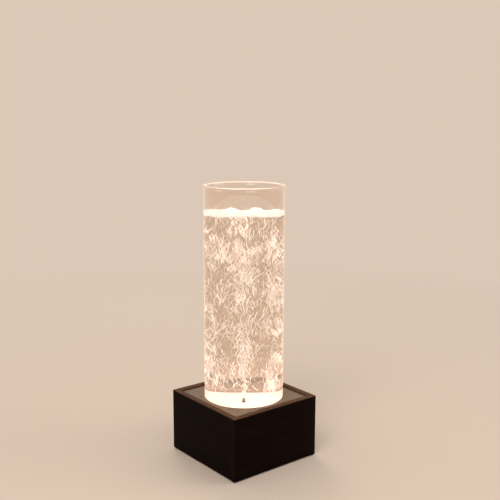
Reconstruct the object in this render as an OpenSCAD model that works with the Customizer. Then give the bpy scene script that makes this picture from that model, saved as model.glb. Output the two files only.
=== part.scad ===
// Bubble tube lamp: a water-filled acrylic tube standing in a square plinth.
// Millimetres, +Z up. The origin is on the floor, under the tube's axis.
// The controls are on the rear, which faces +Y.

/* [Plinth] */
// Outside width and depth of the square plinth
plinth_w = 196; // [192:1:240]
// Height of the plinth's top edge above the floor
plinth_top = 120; // [114:1:150]
// Thickness of the four wall boards
board_t = 12; // [9:0.5:13]
// Gap between the boards and the floor
board_gap = 2; // [1:0.5:3]
// Width of the small bevel along the boards' edges
arris = 0.8; // [0.3:0.1:1.5]
// Side of the square corner posts
post_w = 20; // [16:0.5:21]
// How far the deck lies below the boards' top edge
deck_drop = 2.5; // [0:0.5:4]
// Thickness of the pale deck panel
deck_t = 5; // [3:0.5:8]
// Thickness of the shelf that carries the tube
shelf_t = 9; // [6:0.5:12]
// Thickness of the bottom panel
panel_t = 6; // [5:0.5:8]
// Clearance round the deck, the shelf and the bottom panel
panel_fit = 0.3; // [0.1:0.1:0.5]

/* [Feet and vents] */
// Height of the rubber feet
foot_h = 4; // [3.5:0.5:8]
// Diameter of the rubber feet
foot_d = 22; // [16:1:24]
// Distance of each foot from the plinth's middle, along X and along Y
foot_at = 63; // [60:0.5:66]
// Number of air slots in the bottom panel
vent_count = 6; // [2:1:8]
// Width of an air slot
vent_w = 4; // [3:0.5:5]
// Length of an air slot
vent_l = 46; // [20:1:50]

/* [Tube] */
// Outside diameter of the tube
tube_d = 150; // [140:1:154]
// Thickness of the tube's wall
tube_wall = 5; // [3:0.5:8]
// Height of the tube's rim above the floor
tube_top = 520; // [400:5:900]
// How far the polished rim swells past the tube's wall
rim_swell = 1.1; // [0.2:0.1:1.5]
// Length of tube that is hidden below the deck's top face
tube_tail = 24; // [22:0.5:29.5]
// How far the tube's floor lies below the deck's top face
floor_drop = 9; // [3:0.5:12]
// Thickness of the opal floor bonded into the tube
floor_t = 6; // [4:0.5:9]
// Glue gap between the tube and what is bonded or seated against it
glue_gap = 0.15; // [0.05:0.05:0.3]
// Width of the soft sealing ring between the deck and the tube
seal_w = 1; // [0.6:0.1:2]
// Wall of the socket ring round the tube's foot
socket_wall = 4; // [3:0.5:5]
// Height of the socket ring
socket_h = 17; // [12:0.5:18]
// Thickness of the socket ring's ledge under the tube
ledge_t = 3; // [2:0.5:4]
// Thickness of the rubber ring under the tube
gasket_t = 1.5; // [1:0.5:3]
// Turn of the socket ring's four ears about the tube's axis
ear_turn = 30; // [20:1:70]

/* [Water] */
// Empty height between the water and the rim
headspace = 52; // [30:1:120]
// Least height of the froth on the water
froth_h = 1.5; // [1:0.5:8]
// Height of the mounds in the froth
froth_swell = 3.5; // [1:0.5:8]
// Width of a rising bubble
bubble_d = 5; // [3:0.5:7]
// Height of a rising bubble
bubble_h = 10; // [5:0.5:14]
// Rise from one bubble to the next in a stream
bubble_pitch = 28; // [18:1:60]
// Least water between the bubbles and the tube's wall
bubble_margin = 4; // [2:0.5:8]

/* [Air] */
// Number of bubble jets in the ring
jet_count = 6; // [3:1:8]
// Radius of the ring of jets
jet_ring_r = 52; // [40:1:54]
// Turn of the ring of jets about the tube's axis
jet_turn = 52; // [0:1:90]
// Height of a jet above the tube's floor
jet_h = 8; // [4:0.5:12]
// Radius of a jet's foot
jet_r = 3; // [2.6:0.1:4.5]
// Radius of the air hole through a jet
jet_hole_r = 0.6; // [0.4:0.05:0.9]
// Thickness of the clear air manifold under the tube's floor
manifold_t = 5; // [4:0.5:8]
// Depth of the air channels in the manifold
channel_deep = 3; // [2:0.5:4]
// Outside diameter of the air hose
hose_d = 5; // [4:0.5:6]

/* [Light] */
// Number of light emitters in the outer ring
led_count = 16; // [8:1:20]
// Radius of the outer ring of emitters
led_ring_r = 48; // [40:1:52]
// Side of a square emitter
led_w = 5; // [3:0.5:6]

/* [Pump] */
// Outside length of the pump, along X
pump_l = 104; // [102:1:108]
// Outside width of the pump, along Y
pump_w = 52; // [50:1:54]
// Height of the pump's lower tray
tray_h = 26; // [24:0.5:28]
// Height of the pump's cover
cover_h = 20; // [19:0.5:24]
// Wall of the pump's tray and cover
pump_wall = 2; // [1.5:0.5:2.5]
// Height of the rubber mounts under the pump
mount_h = 6; // [4:0.5:8]

/* [Controls] */
// Height of the controls' centre line above the floor
control_z = 50; // [46:1:52]
// Width of the window in the rear board
window_w = 104; // [102:1:106]
// Height of the window in the rear board
window_h = 36; // [32:1:40]
// Thickness of the control plate
plate_t = 2; // [1.5:0.5:2.5]
// Outside diameter of the air knob
knob_d = 20; // [16:1:21]
// How far the knob stands out of the control plate
knob_reach = 7; // [6:0.5:8]
// Number of grip flutes round the knob
flute_count = 20; // [12:1:28]
// Angle between the rocker's two positions
rocker_swing = 22; // [16:1:26]
// Diameter of the light button's cap
button_d = 8.7; // [7.5:0.1:9.5]
// Travel of the light button
button_travel = 1.5; // [1:0.1:2]
// Radius of the centre pin in the power socket
pin_r = 1.05; // [0.8:0.05:1.3]
// Radius of the power socket's bore
jack_bore_r = 3.1; // [2.6:0.1:3.4]

/* [Hidden] */

$fn = 64;
seat = 0.3;        // gap at a seat that isn't tight
slack = 0.1;       // gap round a screw or a pin that is pressed in
run = 0.05;        // radial clearance of what turns or slides
hex = 6;

// plinth
half_w = plinth_w / 2;
inner = half_w - board_t;
panel_half = inner - panel_fit;
deck_top = plinth_top - deck_drop;
deck_z = deck_top - deck_t;
tube_z = deck_top - tube_tail;
shelf_top = tube_z - gasket_t - ledge_t;
shelf_z = shelf_top - shelf_t;
panel_top = foot_h + panel_t;
post_at = inner - post_w / 2;
post_grip = 14;    // length of the panel screws in the posts
board_grip = 7;    // length of the plate screws in the rear board

// tube
tube_r = tube_d / 2;
bore_r = tube_r - tube_wall;
rim_r = min(2, tube_wall / 2 - 0.2);
floor_top = deck_top - floor_drop;
floor_z = floor_top - floor_t;
manifold_z = floor_z - manifold_t;
manifold_r = bore_r - 8;
water_top = tube_top - headspace;
bubble_low = floor_top + jet_h + 4;
bubble_room = water_top - 6 - bubble_low;
bubble_count = floor(bubble_room / bubble_pitch);
drift = min(bore_r - jet_ring_r - bubble_d / 2 - bubble_margin, jet_ring_r / 4);
golden = 137.5;
socket_in = tube_r + glue_gap;
socket_out = socket_in + socket_wall;
ledge_r = bore_r - 4;
ear_r = 5.5;
ear_at = socket_out + 4;
ear_t = 4;
seal_in = tube_r + glue_gap;
seal_out = seal_in + seal_w;

// light
plate_r = ledge_r - 2;
plate_h = 2;
led_board_t = 1.6;
led_h = 1.6;
led_hole_r = 14;
led_z = shelf_top + plate_h + led_board_t;
inner_led_count = 8;
inner_led_r = 26;
stem_way = 8;

// air
stem_r = 3;
stem_z = shelf_z - 14;
hose_r = hose_d / 2;
check_len = 20;
spigot_l = 4;
link_l = 6;        // hose between the flow valve and the non-return valve

// pump
pump_side = 20;    // from the left board to the pump
pump_front = 22;   // from the front board to the pump
pump_x = pump_side - inner + pump_l / 2;
pump_y = pump_front - inner + pump_w / 2;
tray_z = panel_top + mount_h;
tray_floor = tray_z + pump_wall;
cover_z = tray_z + tray_h;
arm_z = tray_z + 19;
arm_t = 4;
arm_w = 10;
pivot_x = pump_x - pump_l / 2 + 10;
magnet_l = 7;
magnet_w = 16;
core_gap = 2;
core_l = 22;
core_x = pump_x + pump_l / 2 - 2 * pump_wall - seat - core_l;
magnet_x = core_x - core_gap - magnet_l;
core_half = 15;
leg_t = 5;
middle_leg = 8;
head_x = pivot_x + 26;
head_w = 24;
head_h = 9;
outlet_z = tray_floor + 5;
outlet_y = pump_y + pump_w / 2;
outlet_l = 8;
coil_lead_x = core_x + 8;

// controls
plate_y = inner;
plate_back = inner - plate_t;
valve_x = 0;
button_x = -23;
rocker_x = 25;
jack_x = -42;
valve_front = plate_back - 10;
valve_deep = 18;
valve_half = 9;
nose_r = 4;
nut_h = 2;
spindle_r = 2;
rocker_half = 8;
rocker_wide = 10.4;
rocker_rim = 2;
rocker_deep = 14;
pivot_y = plate_y + 0.6;
axle_r = 1;
button_r = button_d / 2;
barrel_r = button_r + 1.65;
barrel_back = plate_back - 14;
flange_h = 2;
jack_back = plate_back - 12;
check_y = valve_front - valve_deep - spigot_l - link_l - check_len / 2;
jack_r = 5.5;

// controller
pcb_w = 56;
pcb_d = 50;
pcb_x = inner - 24 - pcb_w / 2;
pcb_y = inner - 28 - pcb_d / 2;
pcb_t = 1.6;
standoff_h = 6;
pcb_top = panel_top + standoff_h + pcb_t;
lead_r = 1.1;
header_h = 8;
header_w = 8;
front_row = pcb_y - pcb_d / 2 + 6;
rear_row = pcb_y + pcb_d / 2 - 7;
pump_header = [pcb_x - 22, front_row];
led_header = [pcb_x - 10, front_row];
power_header = [pcb_x - 20, rear_row];
button_header = [pcb_x - 4, rear_row];

// ---- shared shapes ----

module at_corners(d) {
    for (x = [-d, d], y = [-d, d])
        translate([x, y, 0]) children();
}

module round_rect(w, d, r) {
    square([w - 2 * r, d], center = true);
    square([w, d - 2 * r], center = true);
    for (x = [-1, 1], y = [-1, 1])
        translate([x * (w / 2 - r), y * (d / 2 - r)]) circle(r);
}

// A square prism that cuts a bevel of width c along a line through the origin, along X
module bevel_cut(len, c) {
    rotate([45, 0, 0]) cube([len, c * sqrt(2), c * sqrt(2)], center = true);
}

// A pan-head screw, head under z = 0 and shank above it
module screw(head_r, head_h, shank_r, len) {
    difference() {
        rotate_extrude() polygon(concat(
            [[0, len], [shank_r, len - shank_r], [shank_r, 0], [head_r, 0]],
            [for (a = [0:15:90]) [head_r * 0.55 + head_r * 0.45 * cos(a), -head_h * (0.45 + 0.55 * sin(a))]],
            [[0, -head_h]]));
        for (a = [0, 90])
            rotate([0, 0, a]) translate([0, 0, -head_h])
                cube([head_r * 1.1, head_r * 0.28, head_h], center = true);
    }
}

module along_y() {
    rotate([-90, 0, 0]) children();
}

module hex_nut(across, hole_r, h) {
    difference() {
        cylinder(r = across / 2 / cos(30), h = h, $fn = hex);
        translate([0, 0, -1]) cylinder(r = hole_r, h = h + 2);
    }
}

// ---- routes of hoses and leads ----

function unit(v) = v / norm(v);
function mix(a, b, t) = a * (1 - t) + b * t;
function bezier(a, b, c, d, t) =
    a * pow(1 - t, 3) + b * 3 * t * pow(1 - t, 2) + c * 3 * t * t * (1 - t) + d * pow(t, 3);
// A curve from a to just before d, straight for a short stretch at both ends
function span(a, b, c, d, n) = concat([a, a + unit(b - a)],
    [for (i = [1:n - 1]) bezier(a, b, c, d, i / n)], [d + unit(c - d)]);
function line(a, b, n) = [for (i = [0:n - 1]) mix(a, b, i / n)];
function tangents(p) =
    [for (i = [0:len(p) - 1]) unit(p[min(i + 1, len(p) - 1)] - p[max(i - 1, 0)])];
// Each ring's side direction is the last one, flattened square to the new tangent
function sides(t, last, i = 0) =
    i == len(t) ? [] :
    let (n = unit(last - (last * t[i]) * t[i])) concat([n], sides(t, n, i + 1));

// A round tube of radius r swept along the points p, with closed ends
module swept(p, r, count = 10) {
    t = tangents(p);
    n = sides(t, abs(t[0][2]) > 0.7 ? [1, 0, 0] : [0, 0, 1]);
    last = len(p) - 1;
    points = [for (i = [0:last], k = [0:count - 1])
        p[i] + r * (cos(360 * k / count) * n[i] + sin(360 * k / count) * cross(t[i], n[i]))];
    skin = [for (i = [0:last - 1], k = [0:count - 1], f = [0, 1])
        let (a = i * count + k, b = i * count + (k + 1) % count)
        f == 0 ? [a, a + count, b + count] : [a, b + count, b]];
    ends = [[for (k = [0:count - 1]) k], [for (k = [count - 1:-1:0]) last * count + k]];
    polyhedron(points, concat(skin, ends), convexity = 6);
}

// ---- plinth ----

// One board: its left end is free, its right end butts against the next board
module wall_board(turn) {
    rotate([0, 0, turn])
        difference() {
            translate([-half_w, -half_w, board_gap])
                cube([plinth_w - board_t, board_t, plinth_top - board_gap]);
            for (y = [-half_w, -inner])
                translate([0, y, plinth_top]) bevel_cut(plinth_w * 2, arris);
            translate([0, -half_w, board_gap]) bevel_cut(plinth_w * 2, arris);
            translate([-half_w, -half_w, 0]) rotate([0, 90, 0]) bevel_cut(plinth_top * 3, arris);
            translate([-half_w, 0, plinth_top]) rotate([0, 0, 90]) bevel_cut(plinth_w * 2, arris);
        }
}

module front_board() {
    color([0.10, 0.05, 0.035]) wall_board(0);
}

module right_board() {
    color([0.10, 0.05, 0.035]) wall_board(90);
}

module left_board() {
    color([0.10, 0.05, 0.035]) wall_board(270);
}

// The rear board has the control window and the plate's screw holes
module rear_board() {
    color([0.10, 0.05, 0.035])
        difference() {
            wall_board(180);
            translate([0, plate_y - 1, control_z]) along_y()
                linear_extrude(board_t + 2) round_rect(window_w, window_h, 3);
            plate_screw_places() cylinder(r = 1.1 + slack, h = plate_t + board_grip);
        }
}

module lower_posts() {
    color([0.72, 0.56, 0.38])
        difference() {
            at_corners(post_at) translate([-post_w / 2, -post_w / 2, panel_top])
                cube([post_w, post_w, shelf_z - panel_top]);
            at_corners(post_at) cylinder(r = 1.6 + slack, h = panel_top + post_grip + 1);
        }
}

module upper_posts() {
    color([0.72, 0.56, 0.38])
        at_corners(post_at) translate([-post_w / 2, -post_w / 2, shelf_top])
            cube([post_w, post_w, deck_z - shelf_top]);
}

module deck() {
    color([0.90, 0.85, 0.76])
        difference() {
            translate([-panel_half, -panel_half, deck_z]) cube([2 * panel_half, 2 * panel_half, deck_t]);
            translate([0, 0, deck_z - 1]) cylinder(r = seal_out + glue_gap, h = deck_t + 2);
        }
}

module deck_seal() {
    color([0.50, 0.40, 0.32])
        translate([0, 0, deck_z])
            difference() {
                cylinder(r = seal_out, h = deck_t);
                translate([0, 0, -1]) cylinder(r = seal_in, h = deck_t + 2);
            }
}

module shelf() {
    color([0.76, 0.60, 0.42])
        difference() {
            translate([-panel_half, -panel_half, shelf_z]) cube([2 * panel_half, 2 * panel_half, shelf_t]);
            translate([0, 0, shelf_z - 1]) cylinder(r = stem_way, h = shelf_t + 2);
            socket_screw_places() translate([0, 0, -8]) cylinder(r = 1.75, h = 9);
        }
}

module bottom_panel() {
    pitch = 10;
    color([0.62, 0.48, 0.33])
        difference() {
            translate([-panel_half, -panel_half, foot_h]) cube([2 * panel_half, 2 * panel_half, panel_t]);
            at_corners(post_at) cylinder(r = 1.6 + slack, h = panel_top + 1);
            at_corners(foot_at) cylinder(r = 1.4 + slack, h = panel_top + 1);
            for (i = [0:vent_count - 1])
                translate([pump_x + (i - (vent_count - 1) / 2) * pitch, pump_y, foot_h + panel_t / 2])
                    cube([vent_w, min(vent_l, pump_w - 4), panel_t + 2], center = true);
        }
}

module feet() {
    color([0.05, 0.05, 0.05])
        at_corners(foot_at)
            difference() {
                rotate_extrude() polygon([[0, 0], [foot_d / 2 - 1, 0], [foot_d / 2, 1],
                    [foot_d / 2 - 1, foot_h], [0, foot_h]]);
                translate([0, 0, -1]) cylinder(r = 3.2 + slack, h = foot_h - 0.2);
                cylinder(r = 1.4 + slack, h = foot_h + 1);
            }
}

module foot_screws() {
    color([0.75, 0.75, 0.77])
        at_corners(foot_at) translate([0, 0, foot_h - 1.2]) screw(3.2, 1.8, 1.4, panel_t + 0.7);
}

module panel_screws() {
    color([0.75, 0.75, 0.77])
        at_corners(post_at) translate([0, 0, foot_h]) screw(3.5, 2.2, 1.6, panel_t + post_grip);
}

// ---- tube ----

module tube() {
    color([0.95, 0.90, 0.88, 0.35])
        rotate_extrude($fn = 128) union() {
            translate([bore_r, tube_z]) square([tube_wall, tube_top - rim_r - tube_z]);
            translate([bore_r + rim_r, tube_top - 2 * rim_r])
                square([tube_wall + rim_swell - 2 * rim_r, 2 * rim_r]);
            for (x = [bore_r + rim_r, tube_r + rim_swell - rim_r])
                translate([x, tube_top - rim_r]) circle(rim_r);
        }
}

// The opal floor of the tube, with a hole for each jet
module tube_floor() {
    color([0.99, 0.97, 0.93])
        difference() {
            translate([0, 0, floor_z]) cylinder(r = bore_r - glue_gap, h = floor_t);
            jet_places() translate([0, 0, floor_z - 1]) cylinder(r = 2 + slack, h = floor_t + 2);
        }
}

module socket_screw_places() {
    for (k = [0:3])
        rotate([0, 0, ear_turn + 90 * k]) translate([ear_at, 0, shelf_top]) children();
}

module tube_socket() {
    color([0.30, 0.31, 0.33])
        difference() {
            union() {
                translate([0, 0, shelf_top]) cylinder(r = socket_out, h = socket_h);
                socket_screw_places() cylinder(r = ear_r, h = ear_t);
            }
            translate([0, 0, shelf_top + ledge_t]) cylinder(r = socket_in, h = socket_h);
            translate([0, 0, shelf_top - 1]) cylinder(r = ledge_r, h = socket_h);
            socket_screw_places() translate([0, 0, -1]) cylinder(r = 2, h = ear_t + 2);
        }
}

module tube_gasket() {
    color([0.08, 0.08, 0.08])
        translate([0, 0, shelf_top + ledge_t])
            difference() {
                cylinder(r = tube_r - 0.5, h = gasket_t);
                translate([0, 0, -1]) cylinder(r = bore_r - 2, h = gasket_t + 2);
            }
}

module socket_screws() {
    color([0.75, 0.75, 0.77])
        socket_screw_places() translate([0, 0, ear_t]) mirror([0, 0, 1]) screw(3.2, 2.2, 1.6, ear_t + 7);
}

// Middle of bubble i in the stream of jet k, where the jet in the middle of the floor is 0
function bubble_at(k, i) =
    let (t = (i + (0.382 * k) % 1) / bubble_count, out = k == 0 ? 0 : jet_ring_r,
         a = jet_turn + 360 * k / jet_count, b = golden * i + 80 * k, q = drift * pow(t, 0.6))
    [out * cos(a) + q * cos(b), out * sin(a) + q * sin(b),
     bubble_low + bubble_h / 2 + (bubble_room - bubble_h) * t];

// The streams wander more as they rise. The gap is what the water's cavities are larger by.
module bubble_shapes(gap) {
    r = bubble_d / 2 + gap;
    h = bubble_h / 2 + gap;
    for (k = [0:jet_count], i = [0:bubble_count - 1])
        translate(bubble_at(k, i)) rotate_extrude($fn = 6)
            polygon([[0, -h], [0.85 * r, -0.45 * h], [r, 0.35 * h], [0, h]]);
}

module bubbles() {
    color([1.00, 0.96, 0.88, 0.6]) bubble_shapes(0);
}

module water() {
    color([0.96, 0.80, 0.66, 0.5])
        difference() {
            translate([0, 0, floor_top]) cylinder(r = bore_r - glue_gap, h = water_top - floor_top);
            jet_places() translate([0, 0, floor_top - 1])
                cylinder(r = jet_r + glue_gap, h = jet_h + 1 + seat);
            bubble_shapes(glue_gap);
        }
}

// Height of the froth above the water: broad mounds with smaller ones on them
function froth_z(x, y) = froth_h + froth_swell * (0.5 +
    0.20 * sin(13 * x + 3.5 * y + 40) + 0.13 * sin(11 * y - 5 * x) +
    0.11 * sin(24 * x + 50) * cos(21 * y) + 0.06 * sin(43 * y + 31 * x));

module froth() {
    rings = 9;
    count = 60;
    r = bore_r - glue_gap;
    top = [for (j = [1:rings], k = [0:count - 1])
        let (q = r * j / rings, x = q * cos(360 * k / count), y = q * sin(360 * k / count))
        [x, y, water_top + froth_z(x, y)]];
    base = [for (k = [0:count - 1]) [r * cos(360 * k / count), r * sin(360 * k / count), water_top]];
    crown = rings * count + count;
    fan = [for (k = [0:count - 1]) [crown, (k + 1) % count, k]];
    bands = [for (j = [0:rings - 1], k = [0:count - 1], f = [0, 1])
        let (a = j * count + k, b = j * count + (k + 1) % count)
        f == 0 ? [a, b, b + count] : [a, b + count, a + count]];
    under = [[for (k = [0:count - 1]) rings * count + k]];
    color([1.00, 0.97, 0.90])
        polyhedron(concat(top, base, [[0, 0, water_top + froth_z(0, 0)]]),
            concat(fan, bands, under), convexity = 6);
}

// ---- air ----

module jet_places() {
    children();
    for (k = [0:jet_count - 1])
        rotate([0, 0, jet_turn + 360 * k / jet_count]) translate([jet_ring_r, 0, 0]) children();
}

// A clear disc: a well, a channel to each jet and a ring channel, closed above by the tube's floor
module air_manifold() {
    groove_half = 3;
    color([0.93, 0.94, 0.95, 0.5])
        difference() {
            translate([0, 0, manifold_z]) cylinder(r = manifold_r, h = manifold_t);
            translate([0, 0, floor_z - channel_deep])
                difference() {
                    cylinder(r = jet_ring_r + groove_half, h = channel_deep + 1);
                    translate([0, 0, -1]) cylinder(r = jet_ring_r - groove_half, h = channel_deep + 3);
                }
            translate([0, 0, floor_z - channel_deep]) cylinder(r = 6, h = channel_deep + 1);
            for (k = [0:jet_count - 1])
                rotate([0, 0, jet_turn + 360 * k / jet_count])
                    translate([0, -1.5, floor_z - channel_deep]) cube([jet_ring_r, 3, channel_deep + 1]);
            translate([0, 0, manifold_z - 1]) cylinder(r = stem_r + slack, h = manifold_t);
        }
}

// Tapered metal jets pressed through the tube's floor
module air_jets() {
    color([0.70, 0.68, 0.64])
        jet_places() translate([0, 0, floor_top])
            rotate_extrude($fn = 32) polygon([[jet_hole_r, -floor_t], [2, -floor_t], [2, 0], [jet_r, 0],
                [jet_r, 1.2], [2.2, 2.2], [1.4, jet_h], [jet_hole_r, jet_h]]);
}

// The tube that brings the air up through the shelf and the light, with a collar for the hose
module air_stem() {
    color([0.80, 0.80, 0.80])
        difference() {
            union() {
                translate([0, 0, stem_z]) cylinder(r = stem_r, h = floor_z - channel_deep - stem_z);
                translate([0, 0, stem_z]) cylinder(r = stem_r + 1, h = 3);
                translate([0, 0, manifold_z - 2]) cylinder(r = stem_r + 1.5, h = 2);
            }
            translate([0, 0, stem_z - 1]) cylinder(r = 1.5, h = floor_z);
        }
}

// The non-return valve lies in the hose behind the pump
module check_valve() {
    r = hose_r + 3.5;
    h = check_len / 2;
    color([0.85, 0.87, 0.90])
        translate([valve_x, check_y, control_z]) along_y()
            rotate_extrude() polygon([[0, -h], [hose_r, -h], [hose_r, 4 - h], [r - 1.5, 5 - h],
                [r - 1.5, -1], [r, -1], [r, 1], [r - 1.5, 1], [r - 1.5, h - 5], [hose_r, h - 4],
                [hose_r, h], [0, h]]);
}

// From the pump's outlet round to the side port of the flow valve
module pump_hose() {
    from = [head_x, outlet_y + outlet_l, outlet_z];
    to = [valve_x - valve_half - 8, valve_front - valve_deep / 2, control_z];
    low = [from[0] - 13, from[1] + 24, from[2] + 6];
    color([0.88, 0.90, 0.90])
        swept(concat(span(from, from + [0, 12, 0], low - [5, 10, 4], low, 8),
            span(low, low + [7.5, 15, 6], to - [24, 0, 0], to, 14), [to]), hose_r);
}

// From the flow valve to the non-return valve
module valve_hose() {
    color([0.88, 0.90, 0.90])
        swept([for (i = [0:3])
            [valve_x, check_y + check_len / 2 + link_l * i / 3, control_z]], hose_r, 12);
}

// From the non-return valve forward, then up to the stem in one easy turn
module stem_hose() {
    from = [valve_x, check_y - check_len / 2, control_z];
    to = [0, 0, stem_z];
    ahead = from[1] - to[1];
    rise = to[2] - from[2];
    color([0.88, 0.90, 0.90])
        swept(concat(span(from, from - [0, 0.6 * ahead, 0], to - [0, 0, 0.6 * rise], to, 14), [to]),
            hose_r, 12);
}

// ---- light ----

module led_plate() {
    color([0.80, 0.81, 0.83])
        difference() {
            translate([0, 0, shelf_top]) cylinder(r = plate_r, h = plate_h);
            translate([0, 0, shelf_top - 1]) cylinder(r = stem_way, h = plate_h + 2);
        }
}

module led_board() {
    color([0.93, 0.93, 0.90])
        translate([0, 0, shelf_top + plate_h])
            difference() {
                cylinder(r = plate_r - 4, h = led_board_t);
                translate([0, 0, -1]) cylinder(r = led_hole_r, h = led_board_t + 2);
            }
}

module emitter() {
    difference() {
        translate([-led_w / 2, -led_w / 2, 0]) cube([led_w, led_w, led_h]);
        translate([0, 0, led_h - 0.4]) cylinder(r = led_w * 0.38, h = 1, $fn = 24);
    }
}

module leds() {
    color([1.0, 0.85, 0.55])
        translate([0, 0, led_z]) {
            for (k = [0:led_count - 1])
                rotate([0, 0, 360 * k / led_count]) translate([led_ring_r, 0, 0]) emitter();
            for (k = [0:inner_led_count - 1])
                rotate([0, 0, 360 * k / inner_led_count + 22.5]) translate([inner_led_r, 0, 0]) emitter();
        }
}

// ---- pump ----

module at_pump(z) {
    translate([pump_x, pump_y, z]) children();
}

// The tray has the ears for the arm's pin and the slot for the outlet
module pump_tray() {
    ear_w = 3;
    color([0.20, 0.22, 0.25])
        difference() {
            union() {
                difference() {
                    at_pump(tray_z) linear_extrude(tray_h) round_rect(pump_l, pump_w, 6);
                    at_pump(tray_floor) linear_extrude(tray_h)
                        round_rect(pump_l - 2 * pump_wall, pump_w - 2 * pump_wall, 4);
                }
                for (s = [-1, 1])
                    translate([pivot_x - 4, pump_y + s * (arm_w / 2 + seat + ear_w / 2) - ear_w / 2,
                               tray_floor])
                        cube([8, ear_w, arm_z - tray_floor + 4]);
            }
            translate([pivot_x, pump_y - 12, arm_z]) along_y() cylinder(r = 1.5 + slack / 2, h = 24);
            translate([head_x, outlet_y - pump_wall - 1, outlet_z]) along_y()
                cylinder(r = hose_r + 0.2, h = pump_wall + 2);
            translate([coil_lead_x, outlet_y - pump_wall - 1, arm_z]) along_y()
                cylinder(r = lead_r + 0.2, h = pump_wall + 2);
        }
}

// A lid with a lip that drops inside the tray, and cooling slots on top
module pump_cover() {
    lip = 3;
    lip_gap = 0.2;
    slots = 7;
    color([0.20, 0.22, 0.25])
        difference() {
            union() {
                at_pump(cover_z) linear_extrude(cover_h) round_rect(pump_l, pump_w, 6);
                at_pump(cover_z - lip) linear_extrude(lip)
                    round_rect(pump_l - 2 * (pump_wall + lip_gap), pump_w - 2 * (pump_wall + lip_gap), 4);
            }
            at_pump(cover_z - lip - 1) linear_extrude(cover_h + lip + 1 - pump_wall)
                round_rect(pump_l - 4 * pump_wall, pump_w - 4 * pump_wall, 3);
            for (i = [0:slots - 1])
                translate([pump_x + (i - (slots - 1) / 2) * 8 - 1.25, pump_y - 14,
                           cover_z + cover_h - pump_wall - 1])
                    cube([2.5, 28, pump_wall + 2]);
        }
}

module pump_mounts() {
    color([0.06, 0.06, 0.06])
        for (x = [-1, 1], y = [-1, 1])
            translate([pump_x + x * (pump_l / 2 - 9), pump_y + y * (pump_w / 2 - 8), panel_top])
                rotate_extrude() polygon([[0, 0], [5, 0], [5, mount_h * 0.3], [3.6, mount_h * 0.5],
                    [5, mount_h * 0.7], [5, mount_h], [0, mount_h]]);
}

// An E of steel laminations, its legs towards the arm's magnet
module pump_core() {
    step = core_half - leg_t;
    color([0.45, 0.46, 0.48])
        difference() {
            translate([0, pump_y - magnet_w / 2, 0]) union() {
                translate([core_x + core_l - leg_t, 0, arm_z - core_half])
                    cube([leg_t, magnet_w, 2 * core_half]);
                for (z = [-core_half, step])
                    translate([core_x, 0, arm_z + z]) cube([core_l, magnet_w, leg_t]);
                translate([core_x, 0, arm_z - middle_leg / 2]) cube([core_l, magnet_w, middle_leg]);
            }
            for (z = [-1, 1])
                translate([core_x + core_l - leg_t / 2, pump_y - 12, arm_z + z * (core_half - leg_t / 2)])
                    along_y() cylinder(r = 1.2, h = 24, $fn = 24);
        }
}

// A bobbin with its winding round the core's middle leg
module pump_coil() {
    reach = core_l - leg_t - 1;
    high = 2 * (core_half - leg_t) - 0.6;
    color([0.62, 0.30, 0.14])
        translate([core_x + 0.5, pump_y, arm_z]) rotate([90, 0, 90])
            difference() {
                union() {
                    linear_extrude(1.2) square([magnet_w + 14, high], center = true);
                    translate([0, 0, reach - 1.2]) linear_extrude(1.2)
                        square([magnet_w + 14, high], center = true);
                    linear_extrude(reach) round_rect(magnet_w + 11, high - 1.6, 3);
                }
                translate([0, 0, -1]) linear_extrude(reach + 2)
                    square([magnet_w + 2 * slack, middle_leg + 2 * slack], center = true);
            }
}

// The arm's bar thickens round its pin, and a boss above the diaphragm pushes on it
module pump_arm() {
    color([0.86, 0.86, 0.84])
        difference() {
            union() {
                translate([pivot_x, pump_y - arm_w / 2, arm_z - arm_t / 2])
                    cube([magnet_x - pivot_x, arm_w, arm_t]);
                translate([pivot_x, pump_y - arm_w / 2, arm_z]) along_y() cylinder(r = 3.6, h = arm_w);
                translate([head_x, pump_y, arm_z - arm_t / 2 - 1]) cylinder(r = 4, h = 1 + arm_t / 2);
            }
            translate([pivot_x, pump_y - arm_w, arm_z]) along_y()
                cylinder(r = 1.5 + run, h = 2 * arm_w);
        }
}

module arm_pin() {
    color([0.78, 0.78, 0.80])
        translate([pivot_x, pump_y - arm_w / 2 - 3.5, arm_z]) along_y() cylinder(r = 1.5, h = arm_w + 7);
}

module arm_magnet() {
    color([0.35, 0.35, 0.37])
        translate([magnet_x, pump_y - magnet_w / 2, arm_z - magnet_w / 2])
            cube([magnet_l, magnet_w, magnet_w]);
}

// A rubber bellows between the valve head and the arm's boss
module diaphragm() {
    low = tray_floor + head_h;
    high = arm_z - arm_t / 2 - 1;
    h = high - low;
    color([0.07, 0.07, 0.07])
        translate([head_x, pump_y, low])
            rotate_extrude() polygon([[0, 0], [10, 0], [11, h * 0.2], [9, h * 0.45], [10, h * 0.7],
                [7, h], [0, h]]);
}

// The valve head: a block under the bellows with two valve wells and the outlet spigot
module valve_head() {
    color([0.84, 0.84, 0.80])
        difference() {
            union() {
                translate([head_x - head_w / 2, pump_y - head_w / 2, tray_floor])
                    cube([head_w, head_w, head_h]);
                translate([head_x, pump_y + head_w / 2 - 1, outlet_z]) along_y()
                    cylinder(r = hose_r, h = outlet_y + outlet_l - pump_y - head_w / 2 + 1);
            }
            translate([head_x, pump_y, outlet_z]) along_y() cylinder(r = 1.2, h = pump_w);
            for (s = [-5, 5])
                translate([head_x + s, pump_y, tray_floor + 2]) cylinder(r = 2.5, h = head_h);
        }
}

// ---- controls ----

module plate_screw_places() {
    for (x = [-1, 1], z = [-1, 1])
        translate([x * (window_w / 2 + 4), plate_back, control_z + z * (window_h / 2 + 2)])
            along_y() children();
}

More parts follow.
